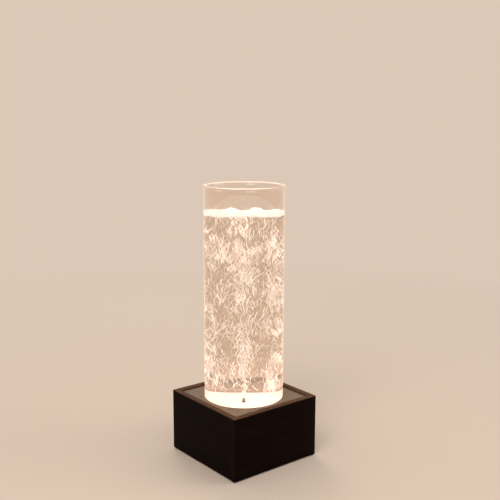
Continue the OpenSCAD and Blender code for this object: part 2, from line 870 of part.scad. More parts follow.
module control_plate() {
    color([0.12, 0.12, 0.13])
        difference() {
            translate([0, plate_back, control_z]) along_y()
                linear_extrude(plate_t) round_rect(window_w + 16, window_h + 12, 3);
            plate_screw_places() translate([0, 0, -1]) cylinder(r = 1.4, h = plate_t + 2);
            translate([0, plate_back - 1, control_z]) along_y() {
                translate([valve_x, 0, 0]) cylinder(r = nose_r + slack, h = plate_t + 2);
                translate([button_x, 0, 0]) cylinder(r = barrel_r + slack, h = plate_t + 2);
                translate([jack_x, 0, 0]) cylinder(r = jack_r + slack, h = plate_t + 2);
            }
            translate([rocker_x - 6.6 - slack, plate_back - 1, control_z - 9.8 - slack])
                cube([13.2 + 2 * slack, plate_t + 2, 19.6 + 2 * slack]);
        }
}

module plate_screws() {
    color([0.75, 0.75, 0.77]) plate_screw_places() screw(2.4, 1.6, 1.1, plate_t + board_grip);
}

// The flow valve's body, with a side inlet, a rear outlet and a nose through the plate
module flow_valve() {
    color([0.78, 0.62, 0.30])
        difference() {
            union() {
                translate([valve_x - valve_half, valve_front - valve_deep, control_z - valve_half])
                    cube([2 * valve_half, valve_deep, 2 * valve_half]);
                translate([valve_x, valve_front - 1, control_z]) along_y()
                    cylinder(r = 7, h = plate_back - valve_front + 1);
                translate([valve_x, valve_front, control_z]) along_y()
                    cylinder(r = nose_r, h = plate_y + nut_h - valve_front);
                translate([valve_x - valve_half - 8, valve_front - valve_deep / 2, control_z])
                    rotate([0, 90, 0]) cylinder(r = hose_r, h = 9);
                translate([valve_x, valve_front - valve_deep - spigot_l, control_z]) along_y()
                    cylinder(r = hose_r, h = spigot_l + 1);
            }
            translate([valve_x, valve_front - valve_deep + 4, control_z]) along_y()
                cylinder(r = spindle_r + run, h = plate_y);
        }
}

module valve_nut() {
    color([0.80, 0.80, 0.82])
        translate([valve_x, plate_y, control_z]) along_y() hex_nut(11, nose_r + slack, nut_h);
}

module valve_spindle() {
    back = valve_front - valve_deep + 4.3;
    color([0.85, 0.85, 0.86])
        difference() {
            translate([valve_x, back, control_z]) along_y()
                cylinder(r = spindle_r, h = plate_y + knob_reach - 1.5 - back);
            translate([valve_x - 3, back + 3, control_z + 1]) cube([6, 3, 4]);
        }
}

// A fluted knob, hollow at the back over the nut, with a pointer line on its face
module flow_knob() {
    r = knob_d / 2;
    depth = knob_reach - 0.4;
    color([0.10, 0.10, 0.11])
        translate([valve_x, plate_y + 0.4, control_z]) along_y()
            difference() {
                rotate_extrude() polygon([[0, 0], [r, 0], [r, depth - 1.2], [r - 1.2, depth], [0, depth]]);
                translate([0, 0, -1]) cylinder(r = 7, h = nut_h + 1);
                translate([0, 0, -1]) cylinder(r = spindle_r + slack / 2, h = depth - 0.5);
                for (k = [0:flute_count - 1])
                    rotate([0, 0, 360 * (k + 0.5) / flute_count]) translate([r + 0.5, 0, -1])
                        cylinder(r = 1.1, h = depth + 2, $fn = 24);
                translate([-0.5, -r + 1.5, depth - 0.5]) cube([1, r * 0.55, 1]);
            }
}

// The rocker's housing: a rim on the plate, a well behind it and the two holes for the rocker's axle
module rocker_body() {
    color([0.07, 0.07, 0.07])
        difference() {
            union() {
                translate([rocker_x, plate_y, control_z]) along_y()
                    linear_extrude(rocker_rim) round_rect(15.4, 22, 1.5);
                translate([rocker_x - 6.6, plate_y - rocker_deep, control_z - 9.8])
                    cube([13.2, rocker_deep, 19.6]);
                for (z = [-5, 5])
                    translate([rocker_x - 2.4, plate_y - rocker_deep - 6, control_z + z - 0.4])
                        cube([4.8, 7, 0.8]);
            }
            translate([rocker_x - rocker_wide / 2 - seat, plate_y - 5, control_z - rocker_half - 1])
                cube([rocker_wide + 2 * seat, 10, 2 * rocker_half + 2]);
            translate([rocker_x - 6.3, pivot_y, control_z]) rotate([0, 90, 0])
                cylinder(r = axle_r + run, h = 12.6);
        }
}

// The rocker at rest stands tilted by half its swing
module power_rocker() {
    color([0.55, 0.05, 0.04])
        translate([rocker_x, pivot_y, control_z]) rotate([-rocker_swing / 2, 0, 0]) union() {
            translate([-rocker_wide / 2, 0, 0]) rotate([90, 0, 90]) linear_extrude(rocker_wide)
                polygon([[3.2, -rocker_half], [1.9, -rocker_half / 2], [1.5, 0], [1.9, rocker_half / 2],
                    [3.2, rocker_half], [0.4, rocker_half], [-3.2, 3], [-3.2, -3], [0.4, -rocker_half]]);
            translate([-rocker_wide / 2 - 1, 0, 0]) rotate([0, 90, 0])
                cylinder(r = axle_r, h = rocker_wide + 2);
        }
}

module button_body() {
    chamber_r = button_r + 0.75;
    color([0.76, 0.77, 0.79])
        translate([button_x, 0, control_z])
            difference() {
                union() {
                    translate([0, barrel_back, 0]) along_y()
                        cylinder(r = barrel_r, h = plate_y - barrel_back);
                    translate([0, plate_y, 0]) along_y() cylinder(r = barrel_r + 1.5, h = flange_h);
                }
                translate([0, barrel_back + 2, 0]) along_y()
                    cylinder(r = chamber_r, h = plate_y - 1 - barrel_back - 2);
                translate([0, plate_y - 2, 0]) along_y() cylinder(r = button_r + run, h = flange_h + 4);
            }
}

module button_nut() {
    color([0.76, 0.77, 0.79])
        translate([button_x, plate_back - 3, control_z]) along_y()
            hex_nut(2 * barrel_r + 4, barrel_r + slack, 3);
}

// Cap, shoulder and stem in one piece
module mode_button() {
    shoulder = plate_y - 1 - 0.1;
    crown = plate_y + flange_h + button_travel + 0.9;
    color([0.92, 0.92, 0.92])
        translate([button_x, 0, control_z]) along_y()
            rotate_extrude() polygon([[0, barrel_back + 6], [1.5, barrel_back + 6], [1.5, shoulder - 1.5],
                [button_r + 0.6, shoulder - 1.5], [button_r + 0.6, shoulder], [button_r, shoulder],
                [button_r, crown - 0.5], [button_r - 0.5, crown], [0, crown]]);
}

// A helical spring between the housing's back wall and the button's shoulder
module button_spring() {
    turns = 5;
    steps = 12;
    wire_r = 0.3;
    coil_r = button_r - 1;
    back = barrel_back + 2 + wire_r + 0.1;
    front = plate_y - 2.6 - wire_r - 0.1;
    color([0.80, 0.80, 0.82])
        swept([for (i = [0:turns * steps])
            [button_x + coil_r * cos(360 * i / steps), back + (front - back) * i / (turns * steps),
             control_z + coil_r * sin(360 * i / steps)]], wire_r, 6);
}

module power_socket() {
    color([0.08, 0.08, 0.09])
        translate([jack_x, 0, control_z])
            difference() {
                union() {
                    translate([0, jack_back, 0]) along_y() cylinder(r = jack_r, h = plate_y - jack_back);
                    translate([0, plate_y, 0]) along_y() cylinder(r = jack_r + 1.5, h = 1.8);
                }
                translate([0, jack_back + 3, 0]) along_y() cylinder(r = jack_bore_r, h = 20);
                translate([0, jack_back - 1, 0]) along_y() cylinder(r = pin_r + 0.5 + slack, h = 6);
            }
}

// The socket's centre pin, with a thicker root and a solder tag behind
module socket_pin() {
    color([0.85, 0.85, 0.80])
        translate([jack_x, 0, control_z]) union() {
            translate([0, jack_back - 0.8, 0]) along_y() cylinder(r = 3, h = 0.8);
            translate([0, jack_back - 0.8, 0]) along_y() cylinder(r = pin_r + 0.5, h = 3.8);
            translate([0, jack_back, 0]) along_y() cylinder(r = pin_r, h = plate_y + 0.8 - jack_back);
        }
}

module socket_nut() {
    color([0.76, 0.77, 0.79])
        translate([jack_x, plate_back - 2.5, control_z]) along_y()
            hex_nut(2 * jack_r + 3, jack_r + slack, 2.5);
}

// ---- controller ----

module controller_board() {
    color([0.05, 0.25, 0.12])
        union() {
            translate([pcb_x - pcb_w / 2, pcb_y - pcb_d / 2, pcb_top - pcb_t]) cube([pcb_w, pcb_d, pcb_t]);
            for (x = [-1, 1], y = [-1, 1])
                translate([pcb_x + x * (pcb_w / 2 - 4), pcb_y + y * (pcb_d / 2 - 4), panel_top])
                    cylinder(r = 2.5, h = standoff_h);
        }
}

module header_block(p, h = header_h) {
    translate([p[0] - header_w / 2, p[1] - 3, pcb_top]) cube([header_w, 6, h]);
}

module board_parts() {
    color([0.15, 0.15, 0.17]) {
        for (p = [pump_header, led_header, power_header, button_header])
            header_block(p);
        translate([pcb_x, pcb_y, pcb_top]) {
            for (x = [10, 20])
                translate([x, -17, 0]) cylinder(r = 4, h = 12);
            translate([-4, -5, 0]) cube([7, 7, 1.4]);
            translate([8, -3, 0]) cube([12, 10, 5]);
            translate([10, 12, 0]) cube([10, 9, 7]);
        }
    }
}

// Two-core leads between the controller, the pump, the light and the controls
module leads() {
    head = pcb_top + header_h;
    power_in = [power_header[0] - 2, power_header[1], head];
    power_out = [power_header[0] + 2, power_header[1], head];
    button_in = [button_header[0], button_header[1], head];
    light_out = [led_header[0], led_header[1], head];
    pump_out = [pump_header[0], pump_header[1], head];
    jack_end = [jack_x, jack_back - 0.9, control_z - 1.5];
    under = [valve_x - 8, valve_front - valve_deep / 2, control_z - valve_half - 8];
    rocker_end = [rocker_x, plate_y - rocker_deep - 6.1, control_z - 5];
    button_end = [button_x, barrel_back - 0.1, control_z + barrel_r - 1.9];
    over = [valve_x, valve_front - valve_deep + 4, control_z + valve_half + 5];
    coil_end = [coil_lead_x, pump_y + magnet_w / 2 + 5.6, arm_z];
    outside = [coil_lead_x, outlet_y + 1, arm_z];
    below = [stem_r + 2.5, 0, stem_z - 2];
    above = [stem_r + 2.5, 0, shelf_top + 1];
    pad = [led_hole_r - slack, 0, shelf_top + plate_h + lead_r + 0.15];
    color([0.75, 0.12, 0.10]) {
        swept(concat(span(jack_end, jack_end - [0, 7, 0], under - [20, -2, 0], under, 10),
            span(under, under + [15, -1.5, 0], power_in + [0, 0, 12], power_in, 9), [power_in]), lead_r, 8);
        swept(concat(span(rocker_end, rocker_end - [0, 10, 0], power_out + [0, 0, 12], power_out, 10),
            [power_out]), lead_r, 8);
        swept(concat(span(button_end, button_end - [0, 9, 0], over - [18, 0, 0], over, 10),
            span(over, over + [20, 0, 0], button_in + [0, 0, 18], button_in, 12), [button_in]), lead_r, 8);
        swept(concat(line(coil_end, outside, 3),
            span(outside, outside + [0, 16, 0], pump_out + [0, 0, 14], pump_out, 12), [pump_out]),
            lead_r, 8);
        swept(concat(span(light_out, light_out + [0, 0, 24], below - [0, 0, 20], below, 14),
            line(below, above, 4), span(above, above + [0, 0, 3.2], pad - [6, 0, 0], pad, 10), [pad]),
            lead_r, 8);
    }
}

front_board();
right_board();
rear_board();
left_board();
lower_posts();
upper_posts();
deck();
deck_seal();
shelf();
bottom_panel();
feet();
foot_screws();
panel_screws();
tube();
tube_floor();
tube_socket();
tube_gasket();
socket_screws();
water();
bubbles();
froth();
air_manifold();
air_jets();
air_stem();
check_valve();
pump_hose();
valve_hose();
stem_hose();
led_plate();
led_board();
leds();
pump_tray();
pump_cover();
pump_mounts();
pump_core();
pump_coil();
pump_arm();
arm_pin();
arm_magnet();
diaphragm();
valve_head();
control_plate();
plate_screws();
flow_valve();
valve_nut();
valve_spindle();
flow_knob();
rocker_body();
power_rocker();
button_body();
button_nut();
mode_button();
button_spring();
power_socket();
socket_pin();
socket_nut();
controller_board();
board_parts();
leads();
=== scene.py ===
import math

import bpy
import numpy as np
from mathutils import Matrix, Vector


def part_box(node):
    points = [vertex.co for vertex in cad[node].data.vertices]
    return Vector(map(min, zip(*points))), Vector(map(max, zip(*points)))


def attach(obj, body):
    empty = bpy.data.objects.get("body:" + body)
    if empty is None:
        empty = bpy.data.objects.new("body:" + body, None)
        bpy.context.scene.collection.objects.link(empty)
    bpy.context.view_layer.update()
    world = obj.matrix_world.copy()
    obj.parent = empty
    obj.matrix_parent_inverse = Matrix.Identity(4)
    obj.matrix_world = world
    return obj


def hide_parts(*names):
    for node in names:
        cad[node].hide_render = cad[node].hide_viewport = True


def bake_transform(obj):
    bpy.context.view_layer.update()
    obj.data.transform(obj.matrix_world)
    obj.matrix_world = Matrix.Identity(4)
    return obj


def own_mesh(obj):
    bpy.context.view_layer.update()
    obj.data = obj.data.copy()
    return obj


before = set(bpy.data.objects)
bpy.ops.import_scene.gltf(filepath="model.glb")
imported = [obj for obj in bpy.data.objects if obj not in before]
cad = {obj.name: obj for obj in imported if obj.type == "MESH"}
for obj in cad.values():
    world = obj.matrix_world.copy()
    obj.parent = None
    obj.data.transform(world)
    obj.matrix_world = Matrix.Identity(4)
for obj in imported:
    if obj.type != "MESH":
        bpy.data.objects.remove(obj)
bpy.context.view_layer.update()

print("camera")

photoCamera = {
    "place": (-0.8962, -1.1311, 0.6524),
    "heading": 38.836,   # degrees from +Y towards +X
    "down": 10.171,      # degrees below level
    "roll": 0.19,
    "lens": 56.68,
    "sensor": 36,
    "shift": (-0.0001, 0.0052),
}


def placeCamera():
    heading, down, roll = (math.radians(photoCamera[key]) for key in ("heading", "down", "roll"))
    ahead = Vector((math.sin(heading) * math.cos(down), math.cos(heading) * math.cos(down),
                    -math.sin(down)))
    level = Vector((math.cos(heading), -math.sin(heading), 0))
    upright = level.cross(ahead)
    right = math.cos(roll) * level + math.sin(roll) * upright
    up = math.cos(roll) * upright - math.sin(roll) * level
    turn = Matrix((right, up, -ahead)).transposed().to_4x4()
    data = bpy.data.cameras.new("photoCamera")
    data.lens = photoCamera["lens"]
    data.sensor_width = photoCamera["sensor"]
    data.shift_x, data.shift_y = photoCamera["shift"]
    camera = bpy.data.objects.new("photoCamera", data)
    camera.matrix_world = Matrix.Translation(photoCamera["place"]) @ turn
    bpy.context.scene.collection.objects.link(camera)
    bpy.context.scene.camera = camera


placeCamera()
bpy.context.scene.view_settings.view_transform = "Standard"


# A colour given as it shows on a screen, 0 to 255, as linear light
def fromScreen(*channels):
    values = np.array(channels) / 255
    linear = np.where(values <= 0.04045, values / 12.92, ((values + 0.055) / 1.055) ** 2.4)
    return (*(float(v) for v in linear), 1.0)


# Each value goes to the socket of that name, or to number 2 where the name is i2, and an output is
# linked to it
def setSockets(tree, node, values):
    for key, value in values.items():
        numbered = key[0] == "i" and key[1:].isdigit()
        socket = node.inputs[int(key[1:])] if numbered else node.inputs[key]
        if isinstance(value, bpy.types.NodeSocket):
            tree.links.new(value, socket)
        else:
            socket.default_value = value


def addNode(tree, kind, settings=None, **sockets):
    made = tree.nodes.new(kind)
    for key, value in (settings or {}).items():
        setattr(made, key, value)
    setSockets(tree, made, sockets)
    return made


def startMaterial(name):
    material = bpy.data.materials.new(name)
    material.use_nodes = True
    tree = material.node_tree
    return material, tree, tree.nodes["Principled BSDF"]


def objectPattern(tree, stretch=(1, 1, 1)):
    place = addNode(tree, "ShaderNodeTexCoord").outputs["Object"]
    return addNode(tree, "ShaderNodeMapping", Vector=place, Scale=stretch).outputs["Vector"]


def noiseValue(tree, where, scale, detail=3.0, roughness=0.55, distortion=0.0):
    made = addNode(tree, "ShaderNodeTexNoise", Vector=where, Scale=scale, Detail=detail,
                   Roughness=roughness, Distortion=distortion)
    return made.outputs["Fac"]


def remap(tree, value, fromLow, fromHigh, toLow=0.0, toHigh=1.0):
    made = addNode(tree, "ShaderNodeMapRange", {"clamp": True}, Value=value, i1=fromLow,
                   i2=fromHigh, i3=toLow, i4=toHigh)
    return made.outputs["Result"]


# A node that works out one number or vector from others
def mathNode(tree, kind, operation, values):
    sockets = {f"i{place}": value for place, value in enumerate(values)}
    return addNode(tree, kind, {"operation": operation}, **sockets)


def calculate(tree, operation, *values):
    return mathNode(tree, "ShaderNodeMath", operation, values).outputs[0]


def vectorCalculate(tree, operation, *values):
    return mathNode(tree, "ShaderNodeVectorMath", operation, values)


def heightOf(tree, where):
    return addNode(tree, "ShaderNodeSeparateXYZ", Vector=where).outputs["Z"]


# Distance from the lamp's upright axis
def axisDistance(tree, where):
    level = vectorCalculate(tree, "MULTIPLY", where, (1, 1, 0)).outputs[0]
    return vectorCalculate(tree, "LENGTH", level).outputs["Value"]


def mixColours(tree, share, first, second):
    made = addNode(tree, "ShaderNodeMix", {"data_type": "RGBA"}, i0=share, i6=first, i7=second)
    return made.outputs[2]


# The first screen colour where the value is at its low end, the second at its high end
def mixPaints(tree, value, ends, first, second):
    return mixColours(tree, remap(tree, value, *ends), fromScreen(*first), fromScreen(*second))


def bumpFrom(tree, height, strength, distance):
    made = addNode(tree, "ShaderNodeBump", Height=height, Strength=strength, Distance=distance)
    return made.outputs["Normal"]


mottle = {
    "colourEnds": (0.32, 0.68),   # the noise's values at the dark and the light colour
    "glossEnds": (0.3, 0.7),
    "bumpDepth": 0.0002,
}


# A finish of two close colours, mixed by a noise, with its own gloss variation and a fine bump
def mottledFinish(name, dark, light, scale=60.0, stretch=(1, 1, 1), gloss=(0.4, 0.55),
                  grain=400.0, bump=0.15, sockets=None):
    material, tree, shader = startMaterial(name)
    where = objectPattern(tree, stretch)
    cloud = noiseValue(tree, where, scale, 4.0)
    fine = noiseValue(tree, where, grain, 2.0)
    setSockets(tree, shader, {
        "Base Color": mixPaints(tree, cloud, mottle["colourEnds"], dark, light),
        "Roughness": remap(tree, cloud, *mottle["glossEnds"], *gloss),
        "Normal": bumpFrom(tree, fine, bump, mottle["bumpDepth"]),
    })
    setSockets(tree, shader, sockets or {})
    return material


def dress(nodeNames, material):
    for name in nodeNames:
        mesh = cad[name].data
        if not mesh.materials:
            mesh.materials.append(material)
        for slot in range(len(mesh.materials)):
            mesh.materials[slot] = material


def ownMaterial(piece, material):
    piece.data.materials.append(material)


# One object from vertex rows and arrays of four-sided and three-sided faces
def surfaceObject(name, vertices, quads, triangles=None, smooth=True):
    triangles = np.zeros((0, 3), int) if triangles is None else triangles
    mesh = bpy.data.meshes.new(name)
    mesh.vertices.add(len(vertices))
    mesh.vertices.foreach_set("co", np.asarray(vertices, np.float32).ravel())
    corners = np.concatenate([quads.ravel(), triangles.ravel()]).astype(np.int32)
    sizes = np.concatenate([np.full(len(quads), 4), np.full(len(triangles), 3)])
    starts = np.concatenate([[0], np.cumsum(sizes)[:-1]]).astype(np.int32)
    mesh.loops.add(len(corners))
    mesh.loops.foreach_set("vertex_index", corners)
    mesh.polygons.add(len(sizes))
    mesh.polygons.foreach_set("loop_start", starts)
    mesh.polygons.foreach_set("use_smooth", np.full(len(sizes), smooth))
    mesh.update(calc_edges=True)
    mesh.validate()
    made = bpy.data.objects.new(name, mesh)
    bpy.context.scene.collection.objects.link(made)
    return made


# The angle of each of a ring's points, counter-clockwise
def ringAngles(columns):
    return 2 * np.pi * np.arange(columns) / columns


# Faces of a grid of rows by columns whose columns close into a ring
def ringQuads(rows, columns):
    row, column = np.meshgrid(np.arange(rows - 1), np.arange(columns), indexing="ij")
    here = row * columns + column
    beside = row * columns + (column + 1) % columns
    return np.stack([here, beside, beside + columns, here + columns], -1).reshape(-1, 4)


# Flat triangles over a ring of points, all from its first point, turned clockwise
def flatFan(sides):
    i = np.arange(1, sides - 1)
    return np.stack([0 * i, i + 1, i], -1)


# A body of rings of points, upwards from the first pole to the last, closed by a fan at each pole.
# Where the rings come downwards first, the faces are turned over
def poledBody(name, rings, firstPole, lastPole, turnedOver=False):
    columns = rings.shape[1]
    vertices = np.concatenate([rings.reshape(-1, 3), [firstPole, lastPole]])
    k = np.arange(columns)
    following = (k + 1) % columns
    last = (len(rings) - 1) * columns
    quads = ringQuads(len(rings), columns)
    fans = np.concatenate([
        np.stack([following, k, np.full_like(k, len(vertices) - 2)], -1),
        np.stack([last + k, last + following, np.full_like(k, len(vertices) - 1)], -1)])
    if turnedOver:
        quads, fans = quads[:, ::-1], fans[:, ::-1]
    return surfaceObject(name, vertices, quads, fans)


# Point i of the closed profile (r, z) turned about Z by 2 pi k / columns: (r cos, r sin, z)
def turnedRing(name, profile, columns):
    angle = ringAngles(columns)
    r, z = profile[:, :1], profile[:, 1:]
    rows = np.stack([r * np.cos(angle), r * np.sin(angle), z + 0 * angle], -1)
    quads = ringQuads(len(profile) + 1, columns) % (len(profile) * columns)
    return surfaceObject(name, rows.reshape(-1, 3), quads)


# Points of an arc about (r, z) from one angle to another, in degrees
def arc(centre, radius, start, end, count=9):
    angle = np.radians(np.linspace(start, end, count))
    return np.stack([centre[0] + radius * np.cos(angle), centre[1] + radius * np.sin(angle)], -1)


print("tube")

tubeLow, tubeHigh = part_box("tube")
tubeShape = {
    "outer": 0.075,
    "bore": 0.070,
    "rim": tubeHigh.x,          # the polished rim swells past the wall
    "rimRound": 0.002,
    "swellHeight": 0.007,
    "swellRows": 10,
    "wallRows": 24,
    "edge": 0.0004,
    "edgePoints": 4,
    "columns": 288,
}
# Each pair of lengths says where a glow starts and where it is full; "across" counts from the axis
# Every glow here is painted light on the acrylic, which is no lamp
acrylicLook = {
    "tint": (0.93, 0.865, 0.82, 1.0),
    "glow": fromScreen(255, 216, 190),
    "wallGlow": 0.010,
    "rim": {"glow": 0.60, "below": (0.0026, 0.0008), "across": (0.0728, 0.0716), "outside": 0.35},
    "foot": {"glow": 0.13, "heights": (0.215, 0.108), "power": 1.6},
    "outline": {"glow": 0.50, "across": (0.0735, 0.0745), "power": 5.0},
    "underDeck": {"glow": 0.10, "above": (0.0004, -0.0006)},   # hidden from outside by the hole
    "drops": {"glow": 0.22, "across": (0.0712, 0.0706), "below": (0.020, 0.042), "scale": 230.0,
              "size": (0.30, 0.12)},
    "haze": {"scale": 30.0, "ends": (0.35, 0.75), "roughness": (0.0, 0.03)},
    "bending": 1.49,
}


# The wall's glow is painted light: a faint even glow of the wall, plus painted light on the
# polished rim, the lit foot and the part under the deck, a painted highlight along the outline and
# painted glints of droplets over the froth
def acrylicMaterial():
    look = acrylicLook
    rim, foot, outline = look["rim"], look["foot"], look["outline"]
    underDeck, drops, haze = look["underDeck"], look["drops"], look["haze"]
    rimTop, deckTop = tubeHigh.z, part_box("deck")[1].z
    material, tree, shader = startMaterial("clearAcrylic")
    where = objectPattern(tree)
    height, away = heightOf(tree, where), axisDistance(tree, where)
    nearTop = remap(tree, height, *(rimTop - below for below in rim["below"]))
    nearBore = remap(tree, away, *rim["across"], rim["outside"], 1.0)
    rimShare = calculate(tree, "MULTIPLY", nearTop, nearBore)
    footShare = calculate(tree, "POWER", remap(tree, height, *foot["heights"]), foot["power"])
    grazing = addNode(tree, "ShaderNodeLayerWeight", Blend=0.5).outputs["Facing"]
    grazing = calculate(tree, "POWER", grazing, outline["power"])
    outlineShare = calculate(tree, "MULTIPLY", grazing, remap(tree, away, *outline["across"]))
    underShare = remap(tree, height, *(deckTop + above for above in underDeck["above"]))
    dots = addNode(tree, "ShaderNodeTexVoronoi", Vector=where, Scale=drops["scale"])
    dots = remap(tree, dots.outputs["Distance"], *drops["size"])
    glintShare = calculate(tree, "MULTIPLY", dots, remap(tree, away, *drops["across"]))
    splashed = remap(tree, height, *(rimTop - below for below in drops["below"]))
    glintShare = calculate(tree, "MULTIPLY", glintShare, splashed)
    glow = look["wallGlow"]
    for share, strength in ((footShare, foot["glow"]), (rimShare, rim["glow"]),
                            (outlineShare, outline["glow"]), (underShare, underDeck["glow"]),
                            (glintShare, drops["glow"])):
        glow = calculate(tree, "MULTIPLY_ADD", share, strength, glow)
    cloud = noiseValue(tree, where, haze["scale"])
    setSockets(tree, shader, {
        "Base Color": look["tint"],
        "Transmission Weight": 1.0,
        "IOR": look["bending"],
        "Roughness": remap(tree, cloud, *haze["ends"], *haze["roughness"]),
        "Emission Color": look["glow"],
        "Emission Strength": glow,
    })
    return material


# The wall's closed profile, turned: straight sides, a rounded rim that swells outwards as
# share^2 (3 - 2 share) over its height, and small rounds at the foot
def makeTube():
    s = tubeShape
    corner = tubeHigh.z - s["rimRound"]
    foot = tubeLow.z + s["edge"]
    rise = np.linspace(0, 1, s["swellRows"])
    ease = rise * rise * (3 - 2 * rise)
    swell = np.stack([s["outer"] + (s["rim"] - s["outer"]) * ease,
                      corner - s["swellHeight"] * (1 - rise)], -1)
    walls = np.linspace(foot, corner - s["swellHeight"], s["wallRows"])[:-1]
    profile = np.concatenate([
        np.stack([np.full(len(walls), s["outer"]), walls], -1),
        swell[:-1],
        arc((s["rim"] - s["rimRound"], corner), s["rimRound"], 0, 90),
        arc((s["bore"] + s["rimRound"], corner), s["rimRound"], 90, 180),
        np.stack([np.full(len(walls), s["bore"]), walls[::-1]], -1),
        arc((s["bore"] + s["edge"], foot), s["edge"], 180, 270, s["edgePoints"])[1:],
        arc((s["outer"] - s["edge"], foot), s["edge"], 270, 360, s["edgePoints"])[:-1],
    ])
    tube = turnedRing("clear_tube", profile, s["columns"])
    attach(tube, "lamp")
    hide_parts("tube")
    ownMaterial(tube, acrylicMaterial())


makeTube()

print("water and froth")

waterLow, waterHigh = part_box("water")
waterRadius = 0.0702               # a little into the wall, so that no air shows between them
frothShape = {
    "front": math.radians(-128),   # the froth is thinnest towards this side
    "rings": 56,
    "columns": 216,
    "under": {"middle": -0.0020, "frontRise": 0.0038, "fall": 0.00915, "fallRate": 2.5,
              "ripples": [(0.0009, 5, 1.0), (0.0006, 11, 0.0)]},   # height, waves, start
    "top": {"level": 0.0008, "slope": 0.0056, "sag": 0.0013, "sideClimb": 0.004,
            "frontClimb": 0.003, "climbPower": 8},
    "swells": [                    # distance from the axis, degrees from the front, width, height
        (0.046, -146, 0.0135, 0.0062), (0.045, 152, 0.0135, 0.0068),
        (0.059, 105, 0.0100, 0.0028), (0.059, -102, 0.0070, 0.0026),
        (0.030, 60, 0.0140, 0.0016), (0.034, -50, 0.0130, 0.0018)],
    "lumps": 120,
    "lumpRadius": (0.0035, 0.0065),
    "lumpHeight": 0.32,            # share of a lump's cap that shows
    "bubbles": 900,
    "bubbleRadius": (0.0012, 0.0022),   # the smallest, and what the largest has more
    "bubbleHeight": 0.55,
    "seed": 12,
}
frothLook = {
    # painted shade along the cells' edges, between the froth's bubbles
    "cellWallShade": (214, 207, 188),
    "dull": (252, 250, 244),
    "bright": (255, 255, 252),
    "cloud": 70.0,
    "cloudEnds": (0.35, 0.65),
    "cells": 420.0,
    "cellEnds": (0.0, 0.16),       # width of a cell's edge, in the pattern's own measure
    "roughness": 0.35,
    "glow": 0.78,
    "bump": (0.35, 0.0006),        # strength and depth
}
waterShape = {
    "columns": 240,
    "sideRows": 40,
    "lidRows": 12,
    "intoFroth": 0.0008,           # the water reaches into the froth and the floor
    "intoFloor": 0.0003,
}
waterLook = {
    "tint": (0.86, 0.83, 0.77, 1.0),
    "other": (0.88, 0.85, 0.79, 1.0),
    "bending": 1.333,
    "cloud": 14.0,
    "cloudEnds": (0.3, 0.7),
}


# Height of the froth's underside. With q = r / R, angle a from the front and lean = (1 - cos a) / 2
# it is middle + q (frontRise + ripples - fall (1 - e^(-fallRate lean))) over the water line
def frothUnder(x, y):
    s = frothShape["under"]
    q, angle = np.hypot(x, y) / waterRadius, np.arctan2(y, x) - frothShape["front"]
    lean = 0.5 - 0.5 * np.cos(angle)
    ripple = sum(height * np.sin(waves * angle + start) for height, waves, start in s["ripples"])
    fall = s["fall"] * (1 - np.exp(-s["fallRate"] * lean))
    return waterHigh.z + s["middle"] + q * (s["frontRise"] + ripple - fall)


# The largest of many round caps at every point: sqrt(cap radius^2 - distance^2), or nothing
def capField(x, y, places, capRadius):
    away = (x[..., None] - places[0]) ** 2 + (y[..., None] - places[1]) ** 2
    return np.sqrt(np.maximum(capRadius ** 2 - away, 0)).max(-1)


def strewnCaps(count, dice):
    reach, turn = waterRadius * np.sqrt(dice.random(count)), 2 * np.pi * dice.random(count)
    return reach * np.cos(turn), reach * np.sin(turn)


# Height of the froth's top. With u from -1 at the back to 1 at the front and q = r / R it is
# level + slope u - sag u^2, plus (sideClimb (1 - u^2) + frontClimb sqrt(u)) q^climbPower where it
# climbs the wall, plus swells of height e^(-(distance / width)^2), lumps and small bubbles
def frothTop(x, y):
    s, front = frothShape, frothShape["front"]
    top = s["top"]
    dice = np.random.default_rng(s["seed"])
    q = np.hypot(x, y) / waterRadius
    u = (x * math.cos(front) + y * math.sin(front)) / waterRadius
    climb = top["sideClimb"] * np.maximum(1 - u * u, 0)
    climb = climb + top["frontClimb"] * np.sqrt(np.maximum(u, 0))
    base = top["level"] + top["slope"] * u - top["sag"] * u * u + climb * q ** top["climbPower"]
    reach, turn, width, height = np.array(s["swells"]).T
    turn = front + np.radians(turn)
    away = (x[..., None] - reach * np.cos(turn)) ** 2 + (y[..., None] - reach * np.sin(turn)) ** 2
    broad = (height * np.exp(-away / width ** 2)).sum(-1)
    places = strewnCaps(s["lumps"], dice)
    lumps = capField(x, y, places, dice.uniform(*s["lumpRadius"], s["lumps"]))
    places = strewnCaps(s["bubbles"], dice)
    least, more = s["bubbleRadius"]
    small = capField(x, y, places, least + more * dice.random(s["bubbles"]) ** 2)
    return waterHigh.z + base + broad + s["lumpHeight"] * lumps + s["bubbleHeight"] * small


def frothMaterial():
    look = frothLook
    material, tree, shader = startMaterial("frothWhite")
    where = objectPattern(tree)
    cells = addNode(tree, "ShaderNodeTexVoronoi", {"feature": "DISTANCE_TO_EDGE"}, Vector=where,
                    Scale=look["cells"])
    wall = remap(tree, cells.outputs["Distance"], *look["cellEnds"])
    cloud = noiseValue(tree, where, look["cloud"])
    shade = mixPaints(tree, cloud, look["cloudEnds"], look["dull"], look["bright"])
    # The cells' edges are painted darker: painted shade between the bubbles
    colour = mixColours(tree, wall, fromScreen(*look["cellWallShade"]), shade)
    setSockets(tree, shader, {
        "Base Color": colour,
        "Roughness": look["roughness"],
        "Emission Color": colour,
        "Emission Strength": look["glow"],
        "Normal": bumpFrom(tree, wall, *look["bump"]),
    })
    return material


